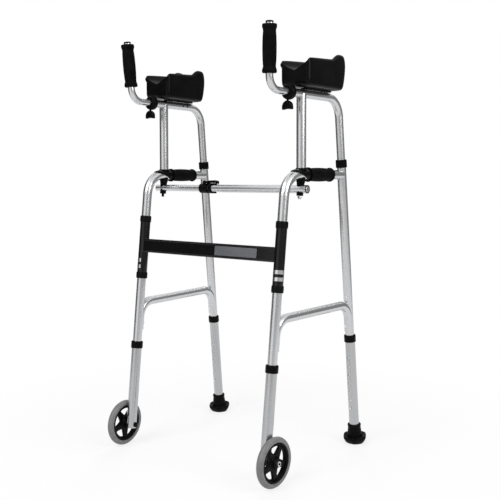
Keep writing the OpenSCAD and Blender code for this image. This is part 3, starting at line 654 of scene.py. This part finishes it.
def arm_pad(side, place):
    pad = piece(f"{side}_forearm_pad", moved(loft(pad_sections()), at(0, PAD_U, PAD_Z)), place, FOAM,
                f"{side}_frame", f"{side}_arm_pad", sharp=0, levels=2)


# Grips

GRIP_RIBS = 26
POINTS_PER_RIB = 6
RIB_DEPTH = 0.035
RIB_POWER = 3
GRIP_STEPS = 14
GRIP_SWELL = 0.7
GRIP_EDGE = 1.4
# rod left bare below the upright grip
GRIP_START = ROD_D * 0.3
CAP_R = ROD_D * 0.53
CAP_H = ROD_D * 0.26
CAP_STEM_R = ROD_D * 0.42
CAP_STEM_L = ROD_D * 0.4
CAP_EDGE = 0.9


def grip_shape(length, bore, across, lip):
    """A ribbed foam grip with a flange of this length at each end."""
    r = across / 2
    neck, belly = r * 0.86, r * 0.955
    start, end = lip * 1.5, length - lip * 1.5
    body = []
    for k in range(GRIP_STEPS + 1):
        t = k / GRIP_STEPS
        swell = math.sin(math.pi * t) ** GRIP_SWELL if 0 < t < 1 else 0
        body.append((neck + (belly - neck) * swell, start + (end - start) * t))
    low = [(bore, 0), (r * 0.93, 0), (r, lip * 0.25), (r, lip * 0.7), (r * 0.93, lip)]
    high = [(radius, length - h) for radius, h in reversed(low)]
    profile = rounded(low + body + high, GRIP_EDGE, closed=True, steps=3)

    def ribs(angle, radius, height):
        if radius < bore * 1.05:
            return 1
        return 1 - RIB_DEPTH * (0.5 + 0.5 * math.cos(GRIP_RIBS * angle)) ** RIB_POWER

    return lathe(profile, GRIP_RIBS * POINTS_PER_RIB, ribs, closed=True)


def grips(side, place):
    hand = grip_shape(HAND_GRIP_L, FRAME_D / 2 + SEAT, HAND_GRIP_D, lip=HAND_GRIP_D * 0.2)
    piece(f"{side}_hand_grip_foam", moved(hand, at(0, HAND_GRIP_U, HAND_H) @ ALONG_Y), place, GRIP,
          f"{side}_frame", f"{side}_hand_grip")
    upright = grip_shape(GRIP_L - GRIP_START, ROD_D / 2 + SEAT, GRIP_D * 1.02, lip=GRIP_D * 0.3)
    piece(f"{side}_upright_grip_foam", moved(upright, on_grip(GRIP_LO + GRIP_START)), place, GRIP,
          f"{side}_handle", f"{side}_handle_grip")
    cap = turned_solid([(0, -CAP_STEM_L), (CAP_STEM_R, -CAP_STEM_L), (CAP_STEM_R, 0), (CAP_R, 0),
                        (CAP_R, CAP_H * 0.75), (CAP_R * 0.7, CAP_H), (0, CAP_H)], CAP_EDGE)
    piece(f"{side}_rod_cap", moved(cap, on_grip(ROD_TOP + SEAT)), place, PLASTIC,
          f"{side}_handle", f"{side}_grip_cap")


# Clamp and wing knob

CLAMP_EDGE = 2.2
KNOB_W = FRAME_D * 1.26
KNOB_TALL = FRAME_D * 0.98
KNOB_THICK = FRAME_D * 0.42
KNOB_TOP = FRAME_D * 0.12
KNOB_EDGE = 3.0
NECK_LO = FRAME_D * 0.36
NECK_HI = FRAME_D * 0.1
NECK_EDGE = 1.0
STUD_R = FRAME_D * 0.12
STUD_LO = FRAME_D * 0.2
STUD_HI = CLAMP_D / 2 - ROD_D / 2 - 3 * SLIDE_GAP


def clamp(side, place):
    r = CLAMP_D / 2
    rod_r, arm_r, step = ROD_D / 2 + SLIDE_GAP, ARM_D / 2 + SEAT, CLAMP_L * 0.45
    ring = turned_ring([(rod_r, 0), (r * 0.72, 0), (r * 0.93, CLAMP_L * 0.12), (r, CLAMP_L * 0.5),
                        (r * 0.93, CLAMP_L * 0.88), (r * 0.72, CLAMP_L), (arm_r, CLAMP_L),
                        (arm_r, step), (rod_r, step)], CLAMP_EDGE)
    piece(f"{side}_clamp_ring", moved(ring, at(0, CLAMP_U, ARM_H) @ ALONG_Y), place, PLASTIC,
          f"{side}_frame", f"{side}_rod_clamp")


def knob(side, place):
    wide, tall, thick = KNOB_W, KNOB_TALL, KNOB_THICK
    outline = rounded([
        (-thick * 0.55, -KNOB_TOP), (thick * 0.55, -KNOB_TOP), (wide * 0.38, -tall * 0.26),
        (wide * 0.48, -tall * 0.55), (wide * 0.5, -tall * 0.94), (wide * 0.4, -tall),
        (wide * 0.16, -tall * 0.93), (-wide * 0.16, -tall * 0.93), (-wide * 0.4, -tall),
        (-wide * 0.5, -tall * 0.94), (-wide * 0.48, -tall * 0.55), (-wide * 0.38, -tall * 0.26),
    ], KNOB_EDGE, closed=True)
    wings = moved(plate(outline, thick, bevel=thick * 0.3), UPRIGHT)
    neck = turned_solid([(0, -NECK_LO), (thick * 0.75, -NECK_LO), (thick * 0.66, -NECK_HI), (0, -NECK_HI)],
                        NECK_EDGE, count=32)
    stud = lathe([(0, -STUD_LO), (STUD_R, -STUD_LO), (STUD_R, STUD_HI), (0, STUD_HI)], count=24)
    below_clamp = at(0, CLAMP_U + CLAMP_L * 0.22, ARM_H - CLAMP_D / 2)
    piece(f"{side}_wing_knob", moved(joined(wings, neck, stud), below_clamp), place, PLASTIC,
          f"{side}_knob", f"{side}_clamp_knob")


# Post saddle and collars

# the saddle's cover on each side of the tube's top, in degrees, by millimetres from the post
SADDLE_COVER = [
    (-34, 20), (-29, 48), (-24, 66), (-17, 81), (-9, 94),
    (-2, 107), (5, 121), (12, 138), (20, 156), (26, 168),
]
SADDLE_THICK = 2.4
SADDLE_STEPS = 24
SADDLE_IN = FRAME_D / 2 + SEAT
SADDLE_OUT = SADDLE_IN + SADDLE_THICK
LIP_FOOT = 2.2
LIP_HEAD = 2.0
LIP_RISE = 2.0
LIP_SLOPE = 0.4
LIP_EDGE = 0.6
BOSS_EDGE = 1.0
COLLAR_EDGE = 1.1


def saddle_section(run, cover):
    """A ring across the saddle's shell, this far from the post along the hand tube and its bend."""
    turn = max(0.0, (HAND_U0 - POST_U - run) / HAND_BEND_R)
    ahead = HAND_U0 - HAND_BEND_R * math.sin(turn) if turn else POST_U + run
    centre = Vector((ahead, HAND_H - HAND_BEND_R * (1 - math.cos(turn))))
    up = Vector((-math.sin(turn), math.cos(turn)))
    spread = math.radians(cover)
    sweep = [-spread + 2 * spread * k / SADDLE_STEPS for k in range(SADDLE_STEPS + 1)]
    arc = [(SADDLE_OUT * math.sin(a), SADDLE_OUT * math.cos(a)) for a in sweep]
    arc += [(SADDLE_IN * math.sin(a), SADDLE_IN * math.cos(a)) for a in reversed(sweep)]
    return [(x, centre.x + up.x * z, centre.y + up.y * z) for x, z in arc]


def saddle(side, place):
    """The shell on the hand tube, the lip round the post and the boss of the brace below."""
    shell = loft([saddle_section(*stop) for stop in SADDLE_COVER])
    post_r, lip_lo, lip_hi = FRAME_D / 2 + SEAT, SADDLE_IN * 0.8, SADDLE_OUT + LIP_RISE
    lip = turned_ring([(post_r, lip_lo), (post_r + LIP_FOOT, lip_lo), (post_r + LIP_HEAD, lip_hi - LIP_SLOPE),
                       (post_r, lip_hi)], LIP_EDGE)
    bolt_r, boss_hi = BOLT_D / 2 + SEAT, -SADDLE_IN * 0.6
    boss = turned_ring([(bolt_r, -BOSS_DROP), (BOSS_D * 0.5, -BOSS_DROP), (BOSS_D * 0.54, boss_hi),
                        (bolt_r, boss_hi)], BOSS_EDGE)
    on_post = at(0, POST_U, HAND_H)
    shape = joined(shell, moved(lip, on_post), moved(boss, on_post @ Matrix.Rotation(-FRONT_LEAN, 4, "X")))
    piece(f"{side}_saddle_shell", shape, place, PLASTIC,
          f"{side}_frame", f"{side}_post_saddle")


def collar_shape(outer, bore, low, high, mouth):
    """A collar from low to high, with one bore below zero and another above."""
    return turned_ring([(bore, low), (outer, low), (outer, high * 0.5), (outer * 0.94, high),
                        (mouth, high), (mouth, 0), (bore, 0)], COLLAR_EDGE)


def collars(side, place):
    top = collar_shape(COLLAR_D * 0.46, FRAME_D / 2 + SEAT, -COLLAR_L * 0.75, COLLAR_L * 0.16,
                       mouth=ARM_D / 2 + SEAT)
    low = collar_shape(COLLAR_D * 0.5, LOWER_D / 2 + SEAT, -COLLAR_L * 0.6, COLLAR_L * 0.25,
                       mouth=FRAME_D / 2 + SLIDE_GAP)
    for name, shape, spot, body in (("arm_collar", top, on_rear(REAR_TOP_H), "frame"),
                                    ("front_collar", low, on_front(FRONT_LOW_H), "front_lower"),
                                    ("rear_collar", low, on_rear(REAR_LOW_H), "rear_lower")):
        piece(f"{side}_{name}_ring", moved(shape, spot), place, PLASTIC,
              f"{side}_{body}", f"{side}_{name}")


# Wheel

WHEEL_STEPS = 96
TYRE_EDGE = 3.0
RIM_EDGE = 1.2
DISC_STEPS = 72
DISC_BEVEL = 0.9
HOLE_EDGE = 3.0
HOLE_STEPS = 5
HUB_EDGE = 1.0
# an opening between two spokes, along and across its middle line, as shares of the rim's radius
SPOKE_HOLE_SHARES = [(0.38, 0.0), (0.71, -0.36), (0.79, -0.2), (0.82, 0.0), (0.79, 0.2), (0.71, 0.36)]


def wheel(side, place):
    r, w = WHEEL_D / 2, TYRE_W / 2
    on_wheel = at(WHEEL_OFF, 0, AXLE_H) @ ALONG_X
    tyre = turned_ring(both_ways([(RIM_R, -w * 0.8), (RIM_R * 1.05, -w * 0.97), (RIM_R * 1.13, -w),
                                  (r * 0.945, -w * 0.8), (r, -w * 0.3)]), TYRE_EDGE, WHEEL_STEPS)
    piece(f"{side}_tyre", moved(tyre, on_wheel), place, TYRE,
          f"{side}_wheel", f"{side}_wheel_tyre", sharp=60)
    rim = turned_ring(both_ways([(RIM_R * 0.85, -w * 0.42), (RIM_R * 0.9, -w * 0.8), (RIM_R, -w * 0.8)]),
                      RIM_EDGE, WHEEL_STEPS)
    hole = rounded([Vector(p) * RIM_R for p in SPOKE_HOLE_SHARES], HOLE_EDGE, closed=True, steps=HOLE_STEPS)
    turns = [Matrix.Rotation((k + 0.5) * 2 * math.pi / SPOKES, 2) for k in range(SPOKES)]
    holes = [[turn @ p for p in hole] for turn in turns]
    disc = plate(ring_of(RIM_R * 0.88, DISC_STEPS), w * 0.68, DISC_BEVEL, holes)
    boss_r = RIM_R * 0.28
    bore = BOLT_D * 0.75 + SEAT
    boss = turned_ring(both_ways([(bore, -HUB_W / 2), (boss_r * 0.9, -HUB_W / 2), (boss_r, -w * 0.6),
                                  (boss_r * 1.2, -w * 0.4)]), HUB_EDGE)
    piece(f"{side}_hub", moved(joined(rim, disc, boss), on_wheel), place, HUB,
          f"{side}_wheel", f"{side}_wheel_hub")


def axle_ends(side, place):
    """The dark head of the axle bolt inside the leg and the dark end of the bolt in its nut."""
    head_r = BOLT_D * 0.85 + SEAT
    skin = BOLT_D * 0.08
    deep = FRAME_D * 0.13
    head = turned_solid([(0, -skin * 2.4), (head_r * 0.6, -skin * 2.2), (head_r + skin, 0),
                         (head_r + skin, deep), (head_r, deep), (head_r, -SEAT), (0, -SEAT)],
                        skin * 0.8, count=40)
    tip_r = BOLT_D * 0.42
    tip_h = tip_r * 0.5
    tip = turned_solid([(0, SEAT), (tip_r, SEAT), (tip_r, tip_r * 0.3), (tip_r * 0.7, tip_h), (0, tip_h)],
                       skin * 0.5, count=32)
    head_face = -LOWER_D / 2 - FRAME_D * 0.15
    nut_face = WHEEL_OFF + HUB_W / 2 + FRAME_D * 0.28
    shape = joined(moved(head, at(head_face, 0, AXLE_H) @ ALONG_X),
                   moved(tip, at(nut_face, 0, AXLE_H) @ ALONG_X))
    piece(f"{side}_axle_ends", shape, place, PLASTIC, f"{side}_front_lower")


# Foot

FOOT_EDGE = 2.4
FOOT_SOCKET = 6.0
POINTS_PER_LOBE = 16
LOBE_DEPTH = 0.06
LOBE_POWER = 1.5
# the lobes start at this share of the foot's radius and are whole after this much more
LOBE_FROM = 0.62
LOBE_OVER = 0.2
# height above the floor at which the leaning foot is cut flat, in metres
FLOOR_CUT = 0.00005


def foot(side, place):
    r, rim = FOOT_D / 2, FOOT_RIM_H
    neck_lo, neck_hi, leg_r = LOWER_D * 0.76, LOWER_D * 0.64, LOWER_D / 2 + SEAT
    profile = [
        (0, -rim), (r * 0.4, -rim), (r * 0.7, 0), (r * 0.9, rim * 0.4), (r, rim * 0.8),
        (r, rim * 1.08), (r * 0.94, rim * 1.16), (neck_lo, rim * 0.96), (neck_hi, FOOT_H * 0.86),
        (neck_hi * 1.06, FOOT_H * 0.9), (neck_hi * 1.06, FOOT_H), (leg_r, FOOT_H),
        (leg_r, FOOT_H - FOOT_SOCKET), (0, FOOT_H - FOOT_SOCKET),
    ]

    def lobes(angle, radius, height):
        if height > rim * 1.2:
            return 1
        reach = min(1.0, max(0.0, (radius / r - LOBE_FROM) / LOBE_OVER))
        return 1 - LOBE_DEPTH * reach * abs(math.sin(FOOT_LOBES * angle / 2)) ** LOBE_POWER

    shape = lathe(rounded(profile, FOOT_EDGE), FOOT_LOBES * POINTS_PER_LOBE, lobes)
    obj = piece(f"{side}_lobed_foot", moved(shape, on_rear(0)), place, RUBBER,
                f"{side}_rear_lower", f"{side}_foot")
    work = bmesh.new()
    work.from_mesh(obj.data)
    cut = bmesh.ops.bisect_plane(work, geom=work.verts[:] + work.edges[:] + work.faces[:], dist=MERGE / 2,
                                 plane_co=(0, 0, FLOOR_CUT), plane_no=(0, 0, 1), clear_inner=True)
    edges = [e for e in cut["geom_cut"] if isinstance(e, bmesh.types.BMEdge)]
    bmesh.ops.edgeloop_fill(work, edges=edges)
    bmesh.ops.recalc_face_normals(work, faces=work.faces)
    work.to_mesh(obj.data)
    work.free()


# Cross frame and brace

BAR_RIM = BAR_TALL * 0.1
BAR_SUNK = 1.2
BAR_EDGE = 2.5
BAR_FLAT_STEPS = 8
# points of a ring on the front or the back of the bar
BAR_SIDE_POINTS = 10
SLEEVE_EDGE = 0.8
SLEEVE_STEPS = 64
BUSH_EDGE = 1.0
# share of a bush that laps over the end of its sleeve
BUSH_IN = 0.06
BAND_TURN = math.radians(37)
BAND_SPREAD = math.radians(58)
BAND_STEPS = 24
BAND_L = 10.0
BAND_SPOTS = (-66.0, -48.0)
BAND_SEAT = 0.02
BAND_THICK = 0.35
BAND_EDGE = 0.3
PLATE_AT = 106.0
PLATE_W = 140.0
PLATE_TALL = 25.0
PLATE_THICK = 1.0
PLATE_SINK = 1.0
PLATE_CORNER = 3.0
PLATE_BEVEL = 0.3


def bar_section(reach):
    """A ring across the cross bar: rounded edges, a shallow panel front and back; reach(y) is its x."""
    tall, thick = BAR_TALL / 2, BAR_THICK / 2
    corner = [(-thick + BAR_EDGE, tall), (-thick + BAR_EDGE * 0.3, tall - BAR_EDGE * 0.3),
              (-thick, tall - BAR_EDGE), (-thick, tall - BAR_RIM),
              (-thick + BAR_SUNK, tall - BAR_RIM - BAR_SUNK)]
    front = corner + [(y, -z) for y, z in reversed(corner)]
    flat = [(BAR_EDGE - thick) * (1 - 2 * k / BAR_FLAT_STEPS) for k in range(1, BAR_FLAT_STEPS)]
    ring = front + [(y, -tall) for y in flat] + [(-y, -z) for y, z in front] + [(-y, tall) for y in flat]
    return [(reach(y), y, z) for y, z in ring]


def bar_shape():
    """The cross bar, hollowed at each end to the round of the sleeve that it is welded to."""
    seam = SLEEVE_D / 4 + FRAME_D / 4 + SLEEVE_GAP / 2

    def ending(sign):
        return lambda y: sign * (FRONT_W / 2 - math.sqrt(seam ** 2 - y ** 2))

    inner = FRONT_W / 2 - SLEEVE_D
    sections = [bar_section(ending(-1)), bar_section(lambda y: -inner), bar_section(lambda y: inner),
                bar_section(ending(1))]
    verts, faces = loft(sections, capped=False)
    side, flat, count = BAR_SIDE_POINTS, BAR_FLAT_STEPS - 1, len(sections[0])
    low = list(range(side - 1, side + flat + 1))
    high = [0, *reversed(range(count - flat, count)), count - flat - 1]
    for start in (0, len(verts) - count):
        for i in range(BAR_FLAT_STEPS):
            faces.append([start + k for k in (low[i], low[i + 1], high[i + 1], high[i])])
        faces.append([start + k for k in range(side)])
        faces.append([start + k for k in range(side + flat, 2 * side + flat)])
    return verts, faces


def band_shape(sign):
    """A thin band over the part of a sleeve that faces the front and outward."""
    r = SLEEVE_D / 2
    rows = [(r + BAND_SEAT, 0), (r + BAND_THICK, BAND_EDGE), (r + BAND_THICK, BAND_L - BAND_EDGE),
            (r + BAND_SEAT, BAND_L)]
    sections = []
    for k in range(BAND_STEPS + 1):
        a = -math.pi / 2 + sign * BAND_TURN + BAND_SPREAD * (2 * k / BAND_STEPS - 1)
        sections.append([(math.cos(a) * q, math.sin(a) * q, h) for q, h in rows])
    return loft(sections)


def on_leg(sign, z=0.0):
    """A place on a front leg's axis, this far up it from the level of the cross bar."""
    return at(sign * FRONT_W / 2, 0, z)


def cross_frame():
    middle = Matrix.Scale(MM, 4) @ at(0, -MID_Y, AXLE_H) @ Matrix.Rotation(-FRONT_LEAN, 4, "X")
    middle = middle @ at(0, 0, (BAR_H - AXLE_H) / math.cos(FRONT_LEAN))
    sleeve_hi = SLEEVE_L - SLEEVE_LO
    r, bore = SLEEVE_D / 2, FRAME_D / 2 + SLEEVE_GAP
    tube = turned_ring([(bore, -SLEEVE_LO), (r, -SLEEVE_LO), (r, sleeve_hi), (bore, sleeve_hi)],
                       SLEEVE_EDGE, SLEEVE_STEPS)
    sleeves = [moved(tube, on_leg(sign)) for sign in SIDES.values()]
    piece("cross_frame_paint", joined(bar_shape(), *sleeves), middle, PAINT,
          "cross", "cross_frame")
    x, z = PLATE_W / 2, PLATE_TALL / 2
    outline = rounded([(-x, -z), (x, -z), (x, z), (-x, z)], PLATE_CORNER, closed=True)
    panel = plate(outline, PLATE_THICK, PLATE_BEVEL)
    panel_at = at(PLATE_AT, -BAR_THICK / 2 + PLATE_SINK, 0) @ UPRIGHT
    piece("bar_plate", moved(panel, panel_at), middle, PLATE, "cross")
    for side, sign in SIDES.items():
        bands = [moved(band_shape(sign), on_leg(sign, spot)) for spot in BAND_SPOTS]
        piece(f"{side}_sleeve_bands", joined(*bands), middle, STEEL, "cross")
    r, bore = BUSH_D / 2, FRAME_D / 2 + BUSH_GAP
    bush = turned_ring([(bore, 0), (r * 0.96, 0), (r, BUSH_L * 0.2), (r, BUSH_L * 0.8), (r * 0.96, BUSH_L),
                        (bore, BUSH_L)], BUSH_EDGE, SLEEVE_STEPS)
    ends = (sleeve_hi - BUSH_L * BUSH_IN, -SLEEVE_LO - BUSH_L * (1 - BUSH_IN))
    bushes = [moved(bush, on_leg(sign, z)) for sign in SIDES.values() for z in ends]
    piece("sleeve_bush_rings", joined(*bushes), middle, BUSH, "cross", "sleeve_bushes")


def brace_disc():
    """The bright disc in the plug at the right end of the brace."""
    r = BRACE_D * 0.36
    disc = turned_solid([(0, SEAT), (r, SEAT), (r, r * 0.06), (r * 0.9, r * 0.12), (0, r * 0.12)],
                        r * 0.05, count=40)
    piece("brace_end_disc", moved(disc, at(BRACE_END, BRACE_Y, BRACE_Z) @ ALONG_X), Matrix.Scale(MM, 4),
          STEEL, "brace_outer")


# Stage, in metres

CAMERA_AT = (1.35846, -1.72766, 0.77323)
CAMERA_DOWN = math.radians(5.269)
CAMERA_BEARING = math.radians(37.306)
CAMERA_LENS = 55.636
CAMERA_SENSOR = 36.0
FLOOR_HALF = 6.0
LAMP_AIM = Vector((0, 0, 0.6))
# bearings are from the camera's side, in degrees
LAMPS = [
    {"name": "key", "bearing": -40, "distance": 2.4, "height": 2.6, "size": 1.4, "power": 55},
    {"name": "fill", "bearing": 50, "distance": 2.6, "height": 1.8, "size": 1.4, "power": 30},
    {"name": "back", "bearing": 170, "distance": 2.4, "height": 2.4, "size": 1.2, "power": 25,
     "mirrored": False},
]
# glowing sheets that only reflections see: painted dark and grey reflections on the round metal
PAINTED_REFLECTION_CARDS = [
    {"name": "left_card", "bearing": -118.5, "distance": 2.6, "width": 5.9, "shade": 0.12},
    {"name": "near_card", "bearing": 25, "distance": 3.4, "width": 6.8, "shade": 0.45},
    {"name": "right_card", "bearing": 118, "distance": 3.2, "width": 7.6, "shade": 0.25},
]
CARD_TALL = 2.6
CARD_CLOUD = 1.1
# strength of the white world as a light, and where it is seen
WORLD_LIGHT = 0.45
WORLD_SEEN = 1.0


def camera():
    data = bpy.data.cameras.new("camera")
    data.sensor_width = CAMERA_SENSOR
    data.lens = CAMERA_LENS
    obj = shown("camera", data)
    obj.location = CAMERA_AT
    obj.rotation_euler = (math.pi / 2 - CAMERA_DOWN, 0.0, CAMERA_BEARING)
    bpy.context.scene.camera = obj


def floor():
    half = FLOOR_HALF
    corners = [(-half, -half, 0), (half, -half, 0), (half, half, 0), (-half, half, 0)]
    mesh = bpy.data.meshes.new("floor")
    mesh.from_pydata(corners, [], [(0, 1, 2, 3)])
    mesh.materials.append(floor_paper())
    obj = shown("floor", mesh)


def softbox(name, bearing, distance, height, size, power, mirrored=True):
    """A square lamp that faces the object, and shows in reflections if mirrored."""
    turn = CAMERA_BEARING + math.radians(bearing)
    data = bpy.data.lights.new(name, "AREA")
    data.shape = "SQUARE"
    data.size = size
    data.energy = power
    obj = shown(name, data)
    obj.location = Vector((distance * math.sin(turn), -distance * math.cos(turn), height))
    obj.rotation_euler = (LAMP_AIM - obj.location).to_track_quat("-Z", "Y").to_euler()
    obj.visible_glossy = mirrored


def painted_reflection_card(name, bearing, distance, width, shade):
    """A glowing sheet of this shade that only reflections see, a painted reflection, so that round metal
    shows its edges.
    """
    turn = CAMERA_BEARING + math.radians(bearing)
    centre = Vector((distance * math.sin(turn), -distance * math.cos(turn), 0))
    along = Vector((math.cos(turn), math.sin(turn), 0)) * width / 2
    high = Vector((0, 0, CARD_TALL))
    mesh = bpy.data.meshes.new(name)
    mesh.from_pydata([centre - along, centre + along, centre + along + high, centre - along + high],
                     [], [(0, 1, 2, 3)])
    f = Finish(name)
    f.colours(f.noise(scale=2, detail=1), low=(shade,) * 3, high=(shade * CARD_CLOUD,) * 3)
    f.flat()
    mesh.materials.append(f.mat)
    obj = shown(name, mesh)
    obj.visible_camera = False
    obj.visible_diffuse = False
    obj.visible_shadow = False
    obj.visible_transmission = False


def world():
    """A white world, plain white to the camera and in reflections, and dimmer as a light."""
    sky = bpy.data.worlds.new("studio")
    bpy.context.scene.world = sky
    sky.use_nodes = True
    tree = sky.node_tree
    path = tree.nodes.new("ShaderNodeLightPath").outputs
    seen = maths(tree, "MAXIMUM", path["Is Camera Ray"], path["Is Glossy Ray"])
    seen = maths(tree, "MAXIMUM", seen, path["Is Transmission Ray"])
    span = tree.nodes.new("ShaderNodeMapRange")
    span.inputs["To Min"].default_value = WORLD_LIGHT
    span.inputs["To Max"].default_value = WORLD_SEEN
    tree.links.new(seen, span.inputs["Value"])
    background = tree.nodes["Background"]
    background.inputs["Color"].default_value = (1, 1, 1, 1)
    tree.links.new(span.outputs["Result"], background.inputs["Strength"])


camera()
floor()
world()
for lamp in LAMPS:
    softbox(**lamp)
for sheet in PAINTED_REFLECTION_CARDS:
    painted_reflection_card(**sheet)
bpy.context.scene.view_settings.view_transform = "Standard"

dress_nodes()
cross_frame()
brace_disc()
for side, sign in SIDES.items():
    place = side_matrix(sign)
    arm_pad(side, place)
    grips(side, place)
    clamp(side, place)
    knob(side, place)
    saddle(side, place)
    collars(side, place)
    wheel(side, place)
    axle_ends(side, place)
    foot(side, place)
